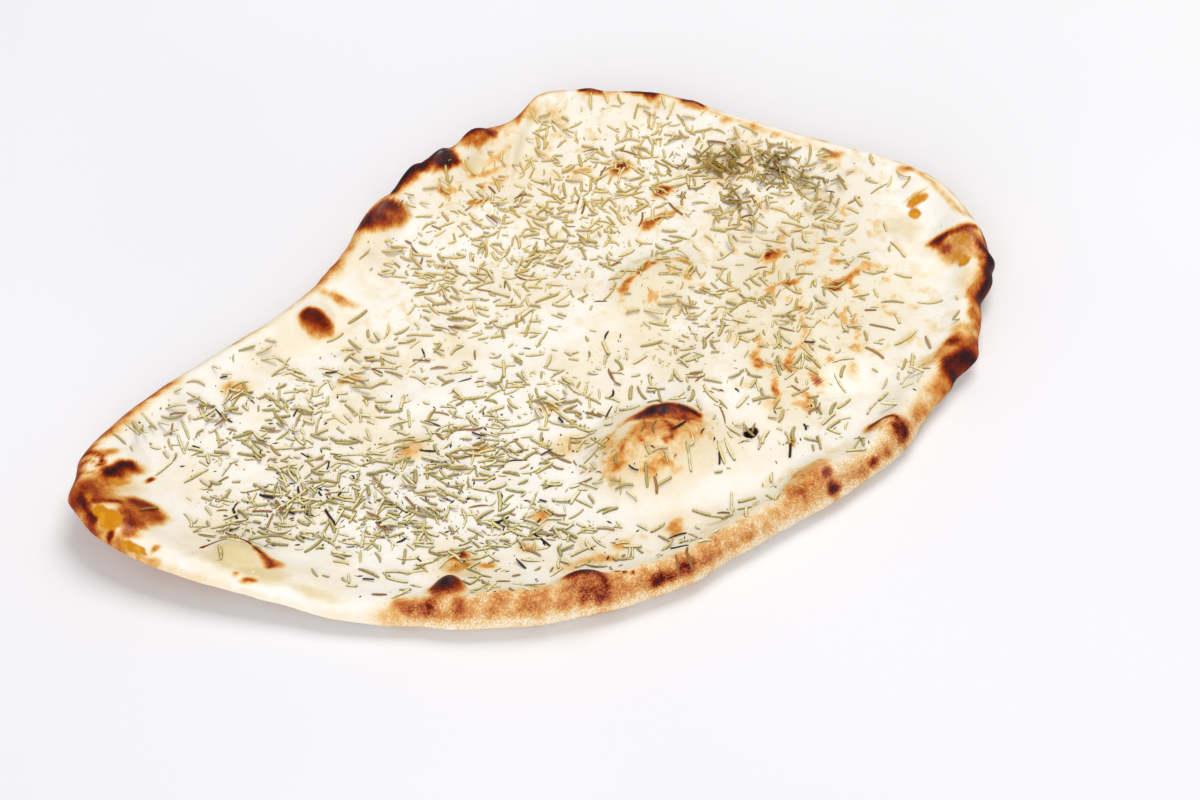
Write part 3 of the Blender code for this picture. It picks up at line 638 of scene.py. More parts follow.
def paintBread(mesh, x, y, around, upper, needles):
    # Stores how toasted, how buttery and how floury each vertex is.
    _, inset = edgePlace(x, y)
    roughPlace, softPlace = warped(x, y, toast["rough"]), warped(x, y, toast["soft"])
    shares = ovalMarks(*softPlace, toast["patches"], 3.5) + ovalMarks(*roughPlace, toast["spots"])
    for group in ("tip", "leftBlister", "beads", "centreBubble", "frontRim", "right"):
        shares += ovalMarks(*softPlace, toast[group])
    for line, halfWidth, strength in toast["lines"]:
        shares.append(strength * np.exp(-((strokeDistance(*softPlace, line) / halfWidth) ** 2)))
    shares += rimToast(x, y, around, inset)
    sandy = smoothStep(1.5 * screened([fallOff(x, y, *place) for place in toast["sandy"]]))
    toasted = sandyRim(screened(shares), around, inset, sandy)
    onTop = np.where(upper, 1.0, 0.0)
    toasted = toasted * np.where(upper, 1.0, np.exp(-((inset / 1.1) ** 2)))
    toasted = np.where(upper, toasted, np.maximum(toasted, toast["under"] * smoothStep(inset / 10.0)))
    far = toast["farAway"]
    # Distance from the pit, for the painted shade in its hollow.
    pitX, pitY, pitRadius = toast["pit"]
    pitShade = np.hypot((x - pitX) * 0.8, y - pitY) - pitRadius
    line = strokeDistance(x, y, toast["thinLine"])
    addAttribute(mesh, "toast", toasted)
    addAttribute(mesh, "butter", screened(ovalMarks(*roughPlace, butter)) * onTop)
    addAttribute(mesh, "amber", screened(ovalMarks(*softPlace, amber)) * onTop)
    addAttribute(mesh, "grain", np.exp(-((inset / toast["sandyReach"]) ** 2)) * sandy)
    addAttribute(mesh, "golden", screened(ovalMarks(x, y, toast["golden"])) * onTop)
    addAttribute(mesh, "gloss", screened(ovalMarks(x, y, gloss)))
    addAttribute(mesh, "line", np.where(upper, np.minimum(line, far), far))
    addAttribute(mesh, "pitShade", np.where(upper, np.minimum(pitShade, far), far))
    addAttribute(mesh, "under", np.where(upper, 0.0, smoothStep(inset / 6.0)))
    # The needles' oil stain and painted shade on the dough.
    addAttribute(mesh, "herb", herbNearness(x, y, needles) * onTop)


# Materials.
dough = {
    "ramp": [  # toast, colour
        (0.00, (250, 246, 237)), (0.09, (244, 230, 200)), (0.18, (238, 209, 158)), (0.28, (229, 178, 105)),
        (0.38, (214, 143, 66)), (0.48, (194, 108, 36)), (0.58, (166, 70, 16)), (0.68, (132, 40, 6)),
        (0.78, (100, 24, 6)), (0.88, (62, 20, 20)), (1.00, (30, 16, 22)),
    ],
    "warm": (243, 228, 196),
    "deeper": (233, 221, 190),
    # Oil stain and painted shade round the needles.
    "herbStainAndShade": (236, 225, 186),
    "amber": (206, 132, 4),
    "amberPale": (226, 166, 44),
    # Painted shade in the pit's hollow.
    "pitShade": (22, 15, 10),
    "paleButter": (224, 205, 154),
    "flour": (245, 226, 198),
    "coarse": (60.0, 3.0),  # noise: bumps for each metre, detail
    "medium": (260.0, 4.0),
    "fine": (900.0, 3.0),
    "dust": (1900.0, 2.0),
    "speckles": (190.0, 2.5),
    "warmPlaces": (38.0, 4.0),
    "bumpHeight": 0.0007,
}


def startMaterial(name):
    material = bpy.data.materials.new(name)
    material.use_nodes = True
    tree = material.node_tree
    return material, tree, tree.nodes["Principled BSDF"]


def noiseNode(tree, scale, detail, roughness=0.55):
    # Noise on the piece's own coordinates: scale is in bumps for each metre.
    place = tree.nodes.get("Texture Coordinate") or tree.nodes.new("ShaderNodeTexCoord")
    node = tree.nodes.new("ShaderNodeTexNoise")
    node.inputs["Scale"].default_value = scale
    node.inputs["Detail"].default_value = detail
    node.inputs["Roughness"].default_value = roughness
    tree.links.new(place.outputs["Object"], node.inputs["Vector"])
    return node.outputs["Fac"]


def attributeNode(tree, name):
    node = tree.nodes.new("ShaderNodeAttribute")
    node.attribute_name = name
    return node.outputs["Fac"]


def mathNode(tree, operation, *inputs, clamp=False):
    node = tree.nodes.new("ShaderNodeMath")
    node.operation = operation
    node.use_clamp = clamp
    for socket, value in zip(node.inputs, inputs):
        if isinstance(value, (int, float)):
            socket.default_value = value
        else:
            tree.links.new(value, socket)
    return node.outputs[0]


def mapNode(tree, value, low, high, toLow=0.0, toHigh=1.0, smooth=True):
    node = tree.nodes.new("ShaderNodeMapRange")
    node.interpolation_type = "SMOOTHSTEP" if smooth else "LINEAR"
    for name, number in (("From Min", low), ("From Max", high), ("To Min", toLow), ("To Max", toHigh)):
        node.inputs[name].default_value = number
    tree.links.new(value, node.inputs["Value"])
    return node.outputs["Result"]


def mixNode(tree, share, first, second):
    node = tree.nodes.new("ShaderNodeMix")
    node.data_type = "RGBA"
    for socket, value in ((node.inputs[0], share), (node.inputs[6], first), (node.inputs[7], second)):
        if isinstance(value, (int, float, list)):
            socket.default_value = value
        else:
            tree.links.new(value, socket)
    return node.outputs[2]


def rampNode(tree, value, stops):
    node = tree.nodes.new("ShaderNodeValToRGB")
    elements = node.color_ramp.elements
    elements[0].position, elements[0].color = stops[0][0], linearColour(*stops[0][1])
    elements[1].position, elements[1].color = stops[-1][0], linearColour(*stops[-1][1])
    for position, colour in stops[1:-1]:
        elements.new(position).color = linearColour(*colour)
    tree.links.new(value, node.inputs["Fac"])
    return node.outputs["Color"]


def bakedDough():
    material, tree, shader = startMaterial("bakedDough")
    toasted, buttery, glossy = (attributeNode(tree, name) for name in ("toast", "butter", "gloss"))
    grain, under, line = (attributeNode(tree, name) for name in ("grain", "under", "line"))
    golden, herb, amber = (attributeNode(tree, name) for name in ("golden", "herb", "amber"))
    pitShade = attributeNode(tree, "pitShade")
    sizes = ("coarse", "medium", "fine", "dust")
    coarse, medium, fine, dust = (noiseNode(tree, *dough[name]) for name in sizes)

    def plus(first, second):
        return mathNode(tree, "ADD", first, second)

    def times(first, second):
        return mathNode(tree, "MULTIPLY", first, second)

    def centred(value, amount):
        return times(mathNode(tree, "SUBTRACT", value, 0.5), amount)

    def tinted(share, base, name):
        return mixNode(tree, share, base, linearColour(*dough[name]))

    # The toasted patches break up at their edges, and the underside browns in blotches.
    gate = mapNode(tree, toasted, 0.02, 0.3)
    ragged = plus(centred(medium, 0.46), centred(fine, 0.26))
    browned = mathNode(tree, "MULTIPLY_ADD", ragged, gate, toasted)
    blotch = times(mapNode(tree, coarse, 0.45, 0.72, 0.0, 0.5), under)
    speckle = times(mapNode(tree, noiseNode(tree, *dough["speckles"]), 0.49, 0.70, 0.0, 0.38), golden)
    grainy = times(centred(dust, 0.85), grain)
    browned = plus(plus(browned, blotch), plus(speckle, grainy))
    scorch = mapNode(tree, plus(line, centred(medium, 0.8)), 0.35, 1.0, 0.76, 0.0)
    browned = mathNode(tree, "MAXIMUM", browned, scorch, clamp=True)
    colour = rampNode(tree, browned, dough["ramp"])

    # Pale dough is warmer in places, and flour and butter change its colour. Near the needles it takes an
    # oil stain and painted shade, and the pit is painted near black as painted shade.
    pale = mapNode(tree, browned, 0.02, 0.25, 1.0, 0.0)
    warmth = mapNode(tree, noiseNode(tree, *dough["warmPlaces"]), 0.44, 0.66, 0.0, 0.68)
    colour = tinted(times(warmth, pale), colour, "warm")
    colour = tinted(times(mapNode(tree, golden, 0.1, 0.9, 0.0, 0.65), pale), colour, "deeper")
    # Round the needles: an oil stain and painted shade.
    colour = tinted(times(mapNode(tree, herb, 0.1, 0.9, 0.0, 0.10), pale), colour, "herbStainAndShade")
    floury = times(mapNode(tree, dust, 0.54, 0.70, 0.05, 0.30), grain)
    colour = tinted(times(floury, mapNode(tree, browned, 0.45, 0.75, 1.0, 0.0)), colour, "flour")
    soak = mapNode(tree, plus(buttery, centred(medium, 0.5)), 0.1, 0.9)
    colour = tinted(times(soak, pale), colour, "paleButter")
    pooled = mapNode(tree, plus(amber, centred(medium, 0.7)), 0.25, 0.65)
    pooled = times(pooled, mapNode(tree, browned, 0.55, 0.8, 1.0, 0.0))
    pool = tinted(mapNode(tree, medium, 0.5, 0.75), linearColour(*dough["amber"]), "amberPale")
    colour = mixNode(tree, pooled, colour, pool)
    # Painted shade: the pit's hollow is darkened to near black.
    pitShaded = mapNode(tree, plus(pitShade, centred(medium, 1.2)), -0.2, 0.5, 1.0, 0.0)
    tree.links.new(tinted(pitShaded, colour, "pitShade"), shader.inputs["Base Color"])

    shine = mathNode(tree, "MAXIMUM", glossy, mapNode(tree, coarse, 0.5, 0.7, 0.0, 0.4))
    shine = times(shine, mapNode(tree, under, 0.0, 0.2, 1.0, 0.0))
    roughness = mapNode(tree, shine, 0.0, 1.0, 0.62, 0.30, smooth=False)
    tree.links.new(mathNode(tree, "MULTIPLY_ADD", grain, 0.2, roughness), shader.inputs["Roughness"])
    tree.links.new(mapNode(tree, shine, 0.0, 1.0, 0.12, 0.6), shader.inputs["Specular IOR Level"])

    bump = tree.nodes.new("ShaderNodeBump")
    bump.inputs["Strength"].default_value = 0.6
    bump.inputs["Distance"].default_value = dough["bumpHeight"]
    height = plus(times(medium, 0.9), times(fine, 0.35))
    dusty = times(dust, mathNode(tree, "MULTIPLY_ADD", grain, 0.5, 0.08))
    tree.links.new(plus(height, dusty), bump.inputs["Height"])
    tree.links.new(bump.outputs["Normal"], shader.inputs["Normal"])
    return material


def makeBread(needles):
    piece = latticeBox("naan_bread")
    x, y, around, upper = shapeBread(piece)
    paintBread(piece.data, x, y, around, upper, needles)
    bpy.ops.object.mode_set(mode="EDIT")
    bpy.ops.mesh.select_all(action="SELECT")
    bpy.ops.mesh.normals_make_consistent(inside=False)
    bpy.ops.object.mode_set(mode="OBJECT")
    bpy.ops.object.shade_smooth()
    piece.data.materials.append(bakedDough())
    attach(piece, "root")
    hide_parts("rosemary_naan")
    print("bread:", len(piece.data.vertices), "vertices")
    return piece


# Dried rosemary. The first needles are the ones that the solid carries, in the same places.
rosemary = {
    "solidNeedles": 160,
    "solidSeed": 11,
    "solidSpacing": 8.5,
    "edgeGap": 17.0,
    "lengths": (5.5, 9.5),
    "moreNeedles": 2200,
    "moreSeed": 29,
    "moreSpacing": 1.1,
    "moreGap": 7.0,
    "moreLengths": (2.2, 6.8),
    "width": (0.75, 1.25),
    "kindSeed": 47,
    "flecks": 2500,
    "fleckSeed": 47,
    "fleckSpacing": 0.8,
    "fleckGap": 6.0,
    "fleckLengths": (0.4, 0.5, 0.7, 0.9, 1.3, 1.9, 2.5),
    "fleckCorners": [(-1, 0, 0.1), (0, -1, 0.1), (1, 0, 0.1), (0, 1, 0.1), (0, 0, 0.9), (0, 0, -0.5)],
    "charredBefore": -20.0,  # nearer than this, many of the flecks are charred
    "charredAges": (0.1, 0.4, 0.7, 1.1, 1.1, 1.1),
    "freshAges": (0.0, 0.1, 0.3, 0.5),
    "base": 0.16,
    "moreBase": 0.21,
    "sprinkle": [  # x, y, half length, half width, turn, weight: where the needles lie thickest
        (-92, -28, 44, 20, -35, 1), (-88, 10, 26, 14, 10, 0.7), (-38, -28, 40, 22, 10, 0.7),
        (10, 48, 42, 26, 20, 0.55), (62, 62, 34, 20, 20, 0.6), (110, 42, 20, 15, -50, 1),
        (66, -28, 22, 34, 40, 0.4), (-45, -72, 30, 10, -20, 0.5),
    ],
    "bare": [  # x, y, half length, half width, turn: where hardly any lie
        (-40, 57, 24, 11, -50), (20, 2, 20, 9, 20), (138, -22, 22, 30, 0), (10, -84, 30, 8, 5),
        (-112, -50, 22, 12, -45), (10, -58, 15, 9, -15), (44, -98, 18, 10, 15),
    ],
    "moreBare": [
        (-109, -6, 10, 8, 0), (-134, 2, 14, 14, 0), (82, -68, 24, 10, 40), (15, -53, 16, 7, -24),
        (-50, 46, 20, 8, -30), (-84, -58, 8, 5, 0), (-14, -74, 14, 5, -20), (120, -50, 20, 14, 40),
        (-147, -4, 22, 32, 0), (-18, 80, 14, 9, 10), (10, 95, 14, 8, 20), (31, 99, 10, 8, 10),
        (77, -93, 12, 9, -30), (-78, -81, 12, 8, 0), (-61, 42, 11, 9, 20), (113, -76, 14, 10, 40),
        (145, -38, 12, 12, 0), (-40, -101, 9, 9, 0),
    ],
    "leftHeading": (-40.0, 30.0),  # degrees, spread
    "acrossHeading": (60.0, 24.0),
    "leftShares": (0.62, 0.34),  # on the narrow half, on the broad half
    "acrossAfter": 0.7,
    "tufts": [  # x, y, spread, count: tangles that stand off the bread
        (102, 48, 5, 22), (119, 33, 5, 20), (95, 31, 5, 18), (126, 20, 4, 12), (108, 40, 8, 14),
        (-98, -24, 6, 16), (-74, -38, 7, 14), (-104, 22, 5, 9), (93, 13, 4, 8), (121, 3, 4, 9),
    ],
    "tuftSeed": 71,
    "tuftLengths": (3.5, 7.5),
    "tuftHeights": (0.8, 1.8),  # on the narrow half, on the broad half
    "scorched": [  # x, y, reach, age that the needles there get
        (22, -55, 8, 1.2), (-141, -9, 8, 0.8), (-16, 79, 8, 1.2), (-76, -81, 7, 1.2), (-60, 44, 7, 1.2),
        (144, -37, 9, 1.2),
    ],
    "tangles": [  # x, y, reach: where they stayed darkest
        (102, 46, 9), (117, 36, 9), (92, 58, 8), (126, 20, 7), (96, 28, 6), (84, 40, 5),
    ],
    "placed": [  # x, y, heading in degrees, length, age: needles that catch the eye
        (-103.6, 21.7, 106, 8.7, 1.15), (-115.5, -14.8, 42, 4.2, 1.1), (-117, -18, 83, 5.2, 1.1),
        (-109, -20.7, 153, 6, 0.8), (-98, -21, 143, 4.8, 1.1), (-94, -24, 135, 6, 0.1),
        (-87.6, -24, 123, 3.8, 1.1), (-95.6, -18.4, 75, 4.2, 1), (-120.6, 22.7, 56, 4, 0.7),
        (-116.5, 21.5, 86, 7, 0.1), (-109, 25.3, 87, 6.8, 0.1), (-132.7, 23.7, 130, 4.6, 0.15),
        (-130, 23.5, 46, 3.2, 0.1), (-138, 21.2, 124, 4.6, 0.1), (-106.5, 35.4, 160, 5.8, 0.1),
        (-99, 27.2, 26, 6.4, 0.1), (-92.8, 28.2, 80, 5.4, 0.3), (-108.2, 30.5, 134, 6.6, 0.2),
        (-119, 26, 173, 6.4, 0.2), (-120, 17, 84, 6.9, 0.1), (-130.8, -15, 88, 6.8, 0.3),
        (-128.7, -18.5, 165, 4.4, 0.1), (-86.6, -56.6, 85, 5, 0.2), (-79.7, -60.5, 57, 6, 0.5),
        (-98.6, -61, 69, 5, 0.1), (-107, -54.8, 86, 5.1, 0.1), (-92, -61.3, 121, 7.5, 0.2),
        (-84.5, -65.3, 145, 7, 0.3), (-94, -72.6, 148, 4.8, 0.9), (-85, -49.6, 30, 8.8, 0.3),
        (17.5, -61.4, 20, 7.6, 1.05), (7, -57, 48, 5.4, 0.8), (9.4, -59, 52, 6, 0.7),
        (-6.3, -62.2, 67, 3.2, 0.5), (14, -73.4, 67, 6.2, 0.2), (-1, -72, 65, 6.4, 0.3),
        (0.4, -75.6, 70, 4.4, 0.7), (24.4, -74.5, 60, 4.6, 1), (26, -72.7, 75, 8.6, 0.2),
        (29.2, -72.7, 78, 9.6, 0.1), (3.4, -75.8, 2, 5, 0.1), (-8.2, -70.8, 152, 5.7, 0.2),
        (-7.6, -74.4, 114, 4.4, 0.2), (-30.8, -67.8, 136, 6, 0.7), (-38.9, -73, 143, 7.6, 0.6),
        (-34, -69.5, 175, 7.4, 0.2), (-21.2, -68, 116, 6.5, 0.3), (-15.8, -75, 175, 5.2, 0.1),
        (-21, -81, 142, 5.7, 0.5), (-31.6, -85.9, 1, 9, 0.1), (-12.3, -109, 72, 5, 0.76),
        (-8, -108.6, 80, 5.6, 0.8), (-70.6, -65, 127, 6, 0.5), (-74.6, -57.4, 53, 5.6, 0.3),
        (-67.2, -81, 18, 7.2, 0.4), (-64, -88, 162, 5, 0.1), (-36.3, -21.6, 159, 7.8, 0.8),
        (-42, -32.6, 159, 5.8, 0.9), (-27, -56.4, 177, 2.8, 1.1), (-16.7, -60.5, 163, 5, 0.8),
        (14.3, -93.2, 137, 4, 0.8), (-0.8, -106, 161, 4, 0.1), (-2.8, -93.7, 172, 6.2, 1),
        (8.4, -89.7, 132, 6, 0.4), (-10.7, -86, 121, 4, 0.2), (-6.6, -88.4, 8, 5.8, 0.2),
        (52, -68, 42, 5.8, 0.1), (64, -80, 13, 6, 0.1), (61.4, -96, 139, 6.2, 0.1),
        (65.3, -94, 61, 5.4, 0.2), (79, -79.5, 29, 6.8, 0.3), (85.2, -77.3, 15, 4.7, 0.1),
        (62.5, -61, 113, 4.8, 0.8), (36.7, -48.8, 92, 8.3, 0.1), (41.6, -67.6, 40, 3.6, 0.6),
        (112.8, -42.8, 150, 8, 0.5),
    ],
    "far": (-90.0, 110.0),  # from here to there, towards the back, they turn paler
    "stations": (-0.5, -0.42, -0.16, 0.12, 0.38, 0.5),
    "kinds": [  # half widths at the stations: cut at both ends, one point, broad and cut, two points
        (0.66, 0.92, 1, 1, 0.94, 0.62), (0.6, 0.9, 1, 0.92, 0.62, 0.2), (0.8, 1, 1.05, 1, 1, 0.8),
        (0.25, 0.62, 1, 0.98, 0.7, 0.25),
    ],
    "section": [(-0.5, 0.26), (-0.28, 0.74), (0.0, 0.52), (0.28, 0.74), (0.5, 0.26), (0.0, -0.16)],
    "ribTones": (1.0, 0.5, 0.0, 0.5, 1.0, 1.0),  # how dark the edges are, for the same six corners
}


def sprinkleWeight(x, y, base, bare, cleared):
    weight = base
    for px, py, halfX, halfY, turn, extra in rosemary["sprinkle"]:
        weight += extra * math.exp(-ovalShare(x, y, px, py, halfX, halfY, turn))
    for px, py, halfX, halfY, turn in bare:
        weight *= 1.0 - cleared * math.exp(-(ovalShare(x, y, px, py, halfX, halfY, turn) ** 2))
    return min(weight, 1.0)


def scatteredPlaces(rng, count, spacing, gap, base, bare, kept=(), cleared=0.95):
    # Seeded picks by weight, kept apart from each other and from the edge.
    places = []
    while len(places) < count:
        x = rng.uniform(-bread["length"] / 2.0, bread["length"] / 2.0)
        y = rng.uniform(-bread["width"] / 2.0, bread["width"] / 2.0)
        share, inset = edgePlace(x, y)
        if share > 1.0 or inset < gap or rng.random() > sprinkleWeight(x, y, base, bare, cleared):
            continue
        if all(math.hypot(x - px, y - py) > spacing for px, py in (*places, *kept)):
            places.append((x, y))
    return places


def strewnHeading(rng, x):
    # The needles fell mostly one way on the narrow half, and more ways on the broad half.
    chance = rng.random()
    if chance < rosemary["leftShares"][0 if x < 0 else 1]:
        return math.radians(rng.gauss(*rosemary["leftHeading"]))
    if x > 0 and chance > rosemary["acrossAfter"]:
        return math.radians(rng.gauss(*rosemary["acrossHeading"]))
    return rng.uniform(0.0, math.pi)


def newNeedle(x, y, heading, length, lift=0.0, pitch=0.0, age=None):
    return {"x": x, "y": y, "heading": heading, "length": length, "lift": lift, "pitch": pitch, "age": age}


def solidNeedles():
    rng = random.Random(rosemary["solidSeed"])
    count, spacing, gap = rosemary["solidNeedles"], rosemary["solidSpacing"], rosemary["edgeGap"]
    places = scatteredPlaces(rng, count, spacing, gap, rosemary["base"], rosemary["bare"])
    return [
        newNeedle(x, y, rng.uniform(0.0, math.pi), rng.uniform(*rosemary["lengths"]))
        for x, y in places
    ]


def placedNeedles():
    return [
        newNeedle(x, y, math.radians(heading), length, lift=0.1, age=age)
        for x, y, heading, length, age in rosemary["placed"]
    ]


def strewnNeedles(others):
    rng = random.Random(rosemary["moreSeed"])
    kept = [(needle["x"], needle["y"]) for needle in others]
    bare = rosemary["bare"] + rosemary["moreBare"]
    count, spacing, gap = rosemary["moreNeedles"], rosemary["moreSpacing"], rosemary["moreGap"]
    needles = []
    for x, y in scatteredPlaces(rng, count, spacing, gap, rosemary["moreBase"], bare, kept, 1.0):
        short = rng.random() < 0.25
        length = rng.uniform(*rosemary["moreLengths"]) * (0.6 if short else 1.0)
        lift = rng.choice((-0.12, -0.08, 0.0, 0.0, 0.25))
        heading = strewnHeading(rng, x)
        needles.append(newNeedle(x, y, heading, length, lift, rng.uniform(-0.06, 0.06)))
    return needles


def tuftNeedles(rng):
    low, high = rosemary["tuftHeights"]
    needles = []
    for px, py, spread, count in rosemary["tufts"]:
        tall = high if px > 0 else low
        for _ in range(count):
            x, y = rng.gauss(px, spread), rng.gauss(py, spread)
            heading, length = rng.uniform(0.0, math.tau), rng.uniform(*rosemary["tuftLengths"])
            lift, pitch = rng.uniform(0.1, tall), rng.uniform(-0.1, 0.25 * tall)
            needles.append(newNeedle(x, y, heading, length, lift, pitch))
    return needles


def distanceBack(x, y):
    # How far towards the back of the view a place lies.
    return 0.5 * x + 0.87 * y


def ageNeedle(rng, needle):
    # Gives a needle its width, bend and colour: older is browner, and those at the back are paler.
    x, y, age = needle["x"], needle["y"], needle["age"]
    if age is None:
        age = rng.choices((0.0, 0.3, 0.6, 1.0), (0.72, 0.19, 0.05, 0.04))[0] + rng.uniform(0.0, 0.2)
    slim = min(1.0, 0.6 + needle["length"] / 14.0)
    needle["width"] = rng.uniform(*rosemary["width"]) * slim * (1.0 - 0.25 * min(age, 1.0))
    near, far = rosemary["far"]
    tangle = float(max(fallOff(x, y, *place) for place in rosemary["tangles"]))
    needle["pale"] = float(smoothStep((distanceBack(x, y) - near) / (far - near))) * (1.0 - tangle)
    needle["tone"] = rng.random() + 1.2 * tangle
    needle["bend"] = rng.gauss(0.0, 0.13)
    for px, py, reach, scorchedAge in rosemary["scorched"]:
        if fallOff(x, y, px, py, reach) > 0.5:
            age = scorchedAge
    needle["age"] = age * (1.0 - 0.35 * needle["pale"])


def needleList():
    needles = solidNeedles() + placedNeedles()
    needles += strewnNeedles(needles)
    rng = random.Random(rosemary["tuftSeed"])
    needles += tuftNeedles(rng)
    for needle in needles:
        ageNeedle(rng, needle)
    return needles


def surfaceHeight(tree, x, y):
    hit = tree.ray_cast(Vector((x * mm, y * mm, 0.1)), Vector((0.0, 0.0, -1.0)))[0]
    return hit.z / mm if hit else None


def needleVerts(tree, needle, kind):
    # Six stations of a rolled leaf, laid along the bread's surface.
    length, width, pitch = needle["length"], needle["width"], needle["pitch"]
    run = np.array([math.cos(needle["heading"]), math.sin(needle["heading"])])
    side = np.array([-run[1], run[0]])
    stations = np.array(rosemary["stations"])
    bow = (stations**2 - 0.1) * needle["bend"] * length * 2.0
    middle = np.array([needle["x"], needle["y"]]) + np.outer(stations * length, run) + np.outer(bow, side)
    known = [(stations[k], surfaceHeight(tree, *middle[k])) for k in (0, 2, 3, 5)]
    known = [(place, height) for place, height in known if height is not None]
    if not known:
        return []
    ground = np.interp(stations, *zip(*known))
    if pitch:
        ground = np.maximum(ground, ground[0] + pitch * (stations + 0.5) * length)
    depth = width * 0.78
    verts = []
    for k, widen in enumerate(kind):
        for across, up in rosemary["section"]:
            place = middle[k] + side * across * width * widen
            verts.append((*place, ground[k] + needle["lift"] + up * depth * (0.3 + 0.7 * widen)))
    return verts


def needleFaces():
    count, last = len(rosemary["section"]), len(rosemary["stations"]) - 1
    faces = [tuple(reversed(range(count))), tuple(range(last * count, (last + 1) * count))]
    for k in range(last):
        for c in range(count):
            after = (c + 1) % count
            faces.append((k * count + c, k * count + after, (k + 1) * count + after, (k + 1) * count + c))
    return faces


def joinedMesh(name, verts, faces, material, attributes):
    mesh = bpy.data.meshes.new(name)
    mesh.from_pydata((np.array(verts) * mm).tolist(), [], faces)
    for attribute, values in attributes.items():
        addAttribute(mesh, attribute, values)
    mesh.materials.append(material)
    piece = bpy.data.objects.new(name, mesh)
    bpy.context.collection.objects.link(piece)
    bpy.ops.object.select_all(action="DESELECT")
    piece.select_set(True)
    bpy.context.view_layer.objects.active = piece
    bpy.ops.object.mode_set(mode="EDIT")
    bpy.ops.mesh.select_all(action="SELECT")
    bpy.ops.mesh.normals_make_consistent(inside=False)
    bpy.ops.object.mode_set(mode="OBJECT")
    bpy.ops.object.shade_smooth_by_angle(angle=math.radians(50.0))
    return piece


def makeNeedles(tree, material, needles):
    rng = random.Random(rosemary["kindSeed"])
    verts, faces = [], []
    shades = {"age": [], "tone": [], "rib": [], "pale": []}
    pattern = needleFaces()
    for needle in needles:
        start = len(verts)
        added = needleVerts(tree, needle, rng.choice(rosemary["kinds"]))
        if not added:
            continue
        verts += added
        faces += [tuple(start + k for k in face) for face in pattern]
        for name in ("age", "tone", "pale"):
            shades[name] += [needle[name]] * len(added)
        burnt = [0.0] * len(rosemary["stations"])
        burnt[0], burnt[-1] = rng.choice((0.0, 0.0, 0.4, 1.0)), rng.choice((0.0, 0.2, 0.6))
        shades["rib"] += [min(ribTone + tip, 1.0) for tip in burnt for ribTone in rosemary["ribTones"]]
    piece = joinedMesh("rosemary_needles", verts, faces, material, shades)
    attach(piece, "root")
    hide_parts("rosemary_naan")
    print("needles:", len(faces) // len(pattern), "and", len(faces), "faces")
    return piece


def makeFlecks(tree, material):
    # Broken bits of leaf, each a small lozenge.
    rng = random.Random(rosemary["fleckSeed"])
    verts, faces = [], []
    shades = {"age": [], "tone": [], "rib": []}
    bare = rosemary["bare"] + rosemary["moreBare"]
    count, spacing, gap = rosemary["flecks"], rosemary["fleckSpacing"], rosemary["fleckGap"]
    corners = rosemary["fleckCorners"]
    for x, y in scatteredPlaces(rng, count, spacing, gap, rosemary["moreBase"], bare, (), 1.0):
        heading, length = rng.uniform(0.0, math.pi), rng.choice(rosemary["fleckLengths"])
        width = min(length * 0.6, rng.uniform(0.35, 0.8))
        c, s = math.cos(heading), math.sin(heading)
        ground = surfaceHeight(tree, x, y)
        start = len(verts)
        for along, across, up in corners:
            dx, dy = along * length / 2.0, across * width / 2.0
            verts.append((x + dx * c - dy * s, y + dx * s + dy * c, ground + up * width * 0.7))
        for k in range(4):
            after = (k + 1) % 4
            faces += [(start + k, start + after, start + 4), (start + after, start + k, start + 5)]
        charred = distanceBack(x, y) < rosemary["charredBefore"]
        shades["age"] += [rng.choice(rosemary["charredAges" if charred else "freshAges"])] * len(corners)
        shades["tone"] += [rng.random()] * len(corners)
        shades["rib"] += [rng.uniform(0.1, 0.7)] * len(corners)
    piece = joinedMesh("rosemary_flecks", verts, faces, material, shades)
    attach(piece, "root")
    print("flecks:", len(verts) // len(corners))
    return piece


herb = {
    "straw": (252, 244, 200),
    "khaki": (238, 224, 154),
    "olive": (190, 180, 112),
    "dark": (178, 140, 42),
    "brown": (156, 108, 54),
    "black": (50, 32, 28),
    "edge": (112, 88, 36),
    "pale": (230, 196, 112),
    "streaks": (900.0, 3.0),  # noise: bumps for each metre, detail
    "bumps": (2400.0, 2.0),
    "bumpHeight": 0.0002,
}


def driedRosemary():
    material, tree, shader = startMaterial("driedRosemary")
    age, tone, rib, pale = (attributeNode(tree, name) for name in ("age", "tone", "rib", "pale"))
    streak = noiseNode(tree, *herb["streaks"])
    colour = linearColour(*herb["straw"])
    for share, name in (
        (mapNode(tree, tone, 0.0, 0.7), "khaki"),
        (mapNode(tree, tone, 0.45, 0.95), "olive"),
        (mapNode(tree, tone, 0.9, 1.6), "dark"),
        (mapNode(tree, streak, 0.52, 0.72, 0.0, 0.6), "edge"),
        (mapNode(tree, rib, 0.45, 0.95, 0.0, 0.95), "edge"),
        (mathNode(tree, "MULTIPLY", pale, 0.5), "pale"),
        (mapNode(tree, age, 0.2, 0.8), "brown"),
        (mapNode(tree, age, 0.85, 1.0), "black"),
    ):
        colour = mixNode(tree, share, colour, linearColour(*herb[name]))
    tree.links.new(colour, shader.inputs["Base Color"])
    shader.inputs["Roughness"].default_value = 0.5
    shader.inputs["Specular IOR Level"].default_value = 0.3
    bump = tree.nodes.new("ShaderNodeBump")
    bump.inputs["Strength"].default_value = 0.4
    bump.inputs["Distance"].default_value = herb["bumpHeight"]
    tree.links.new(noiseNode(tree, *herb["bumps"]), bump.inputs["Height"])
    tree.links.new(bump.outputs["Normal"], shader.inputs["Normal"])
    return material


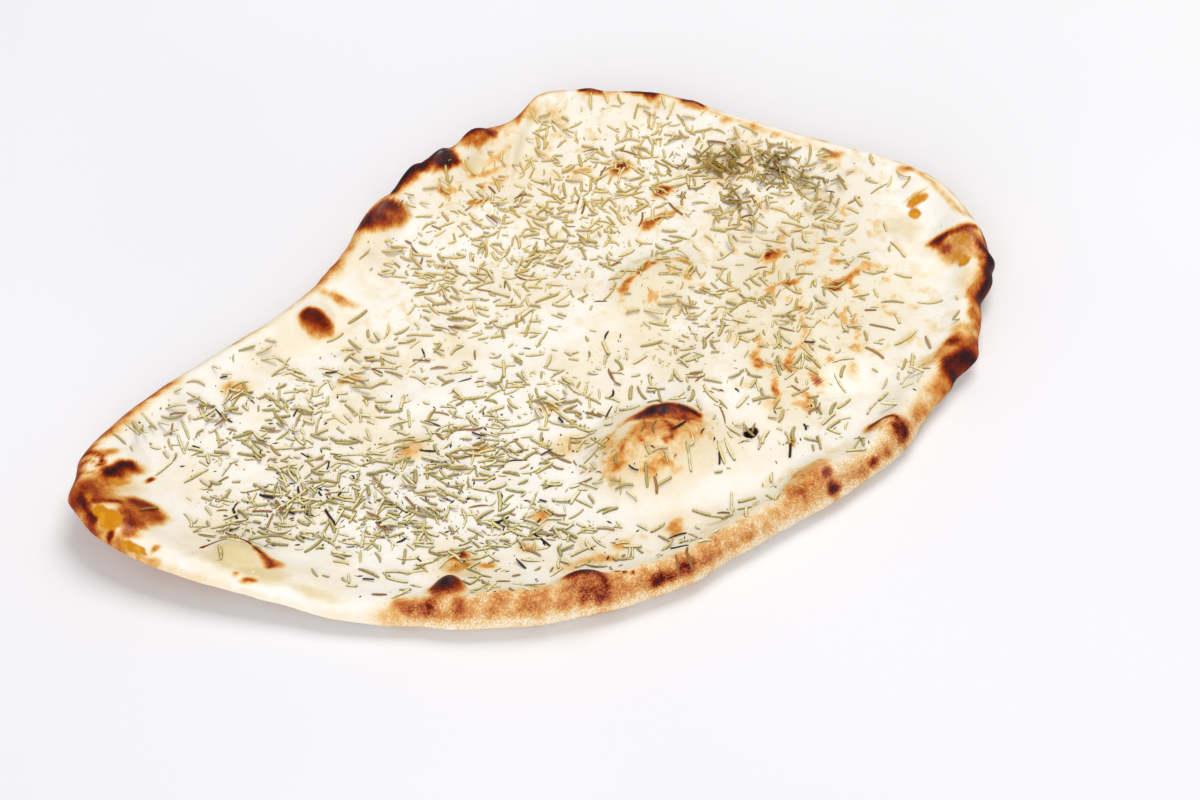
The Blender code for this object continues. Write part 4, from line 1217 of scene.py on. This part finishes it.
# The floor, the light and the camera.
stage = {
    "floor": (239, 239, 242),
    "floorFar": (244, 244, 247),
    "floorSize": 8.0,
    "sky": (250, 250, 252),
    "skyStrength": 0.40,
    "lights": [  # place in metres, size, watts, colour
        ((0.9, 0.55, 1.95), 1.3, 29.0, (255, 252, 247)),
        ((-1.3, -1.5, 0.95), 1.6, 27.5, (250, 250, 255)),
    ],
    "camera": (-269.45, -508.1, 555.0),
    "pitch": 45.0,
    "heading": -30.0,
    "lens": 72.0,
}


def makeFloor():
    bpy.ops.object.select_all(action="DESELECT")
    bpy.ops.mesh.primitive_plane_add(size=stage["floorSize"], location=(0.0, 0.0, -0.0002))
    floor = bpy.context.object
    floor.name = "floor"
    material, tree, shader = startMaterial("paleFloor")
    tone = mapNode(tree, noiseNode(tree, 3.0, 2.0), 0.3, 0.7, 0.0, 1.0)
    colour = mixNode(tree, tone, linearColour(*stage["floor"]), linearColour(*stage["floorFar"]))
    tree.links.new(colour, shader.inputs["Base Color"])
    shader.inputs["Roughness"].default_value = 0.8
    floor.data.materials.append(material)


def makeLight():
    world = bpy.context.scene.world or bpy.data.worlds.new("world")
    bpy.context.scene.world = world
    world.use_nodes = True
    sky = world.node_tree.nodes["Background"]
    sky.inputs["Color"].default_value = linearColour(*stage["sky"])
    sky.inputs["Strength"].default_value = stage["skyStrength"]
    for place, size, watts, colour in stage["lights"]:
        bpy.ops.object.light_add(type="AREA", location=place)
        lamp = bpy.context.object
        lamp.data.size = size
        lamp.data.energy = watts
        lamp.data.color = linearColour(*colour)[:3]
        lamp.rotation_euler = (-Vector(place)).to_track_quat("-Z", "Y").to_euler()
    bpy.context.scene.view_settings.view_transform = "Standard"


def makeCamera():
    turn = (math.radians(90.0 - stage["pitch"]), 0.0, math.radians(stage["heading"]))
    bpy.ops.object.camera_add(location=Vector(stage["camera"]) * mm, rotation=turn)
    camera = bpy.context.object
    camera.data.lens = stage["lens"]
    camera.data.sensor_width = 36.0
    bpy.context.scene.camera = camera


makeCamera()
makeLight()
makeFloor()
needleRows = needleList()
naan = makeBread(needleRows)
naanTree = BVHTree.FromObject(naan, bpy.context.evaluated_depsgraph_get())
rosemaryFinish = driedRosemary()
makeNeedles(naanTree, rosemaryFinish, needleRows)
makeFlecks(naanTree, rosemaryFinish)
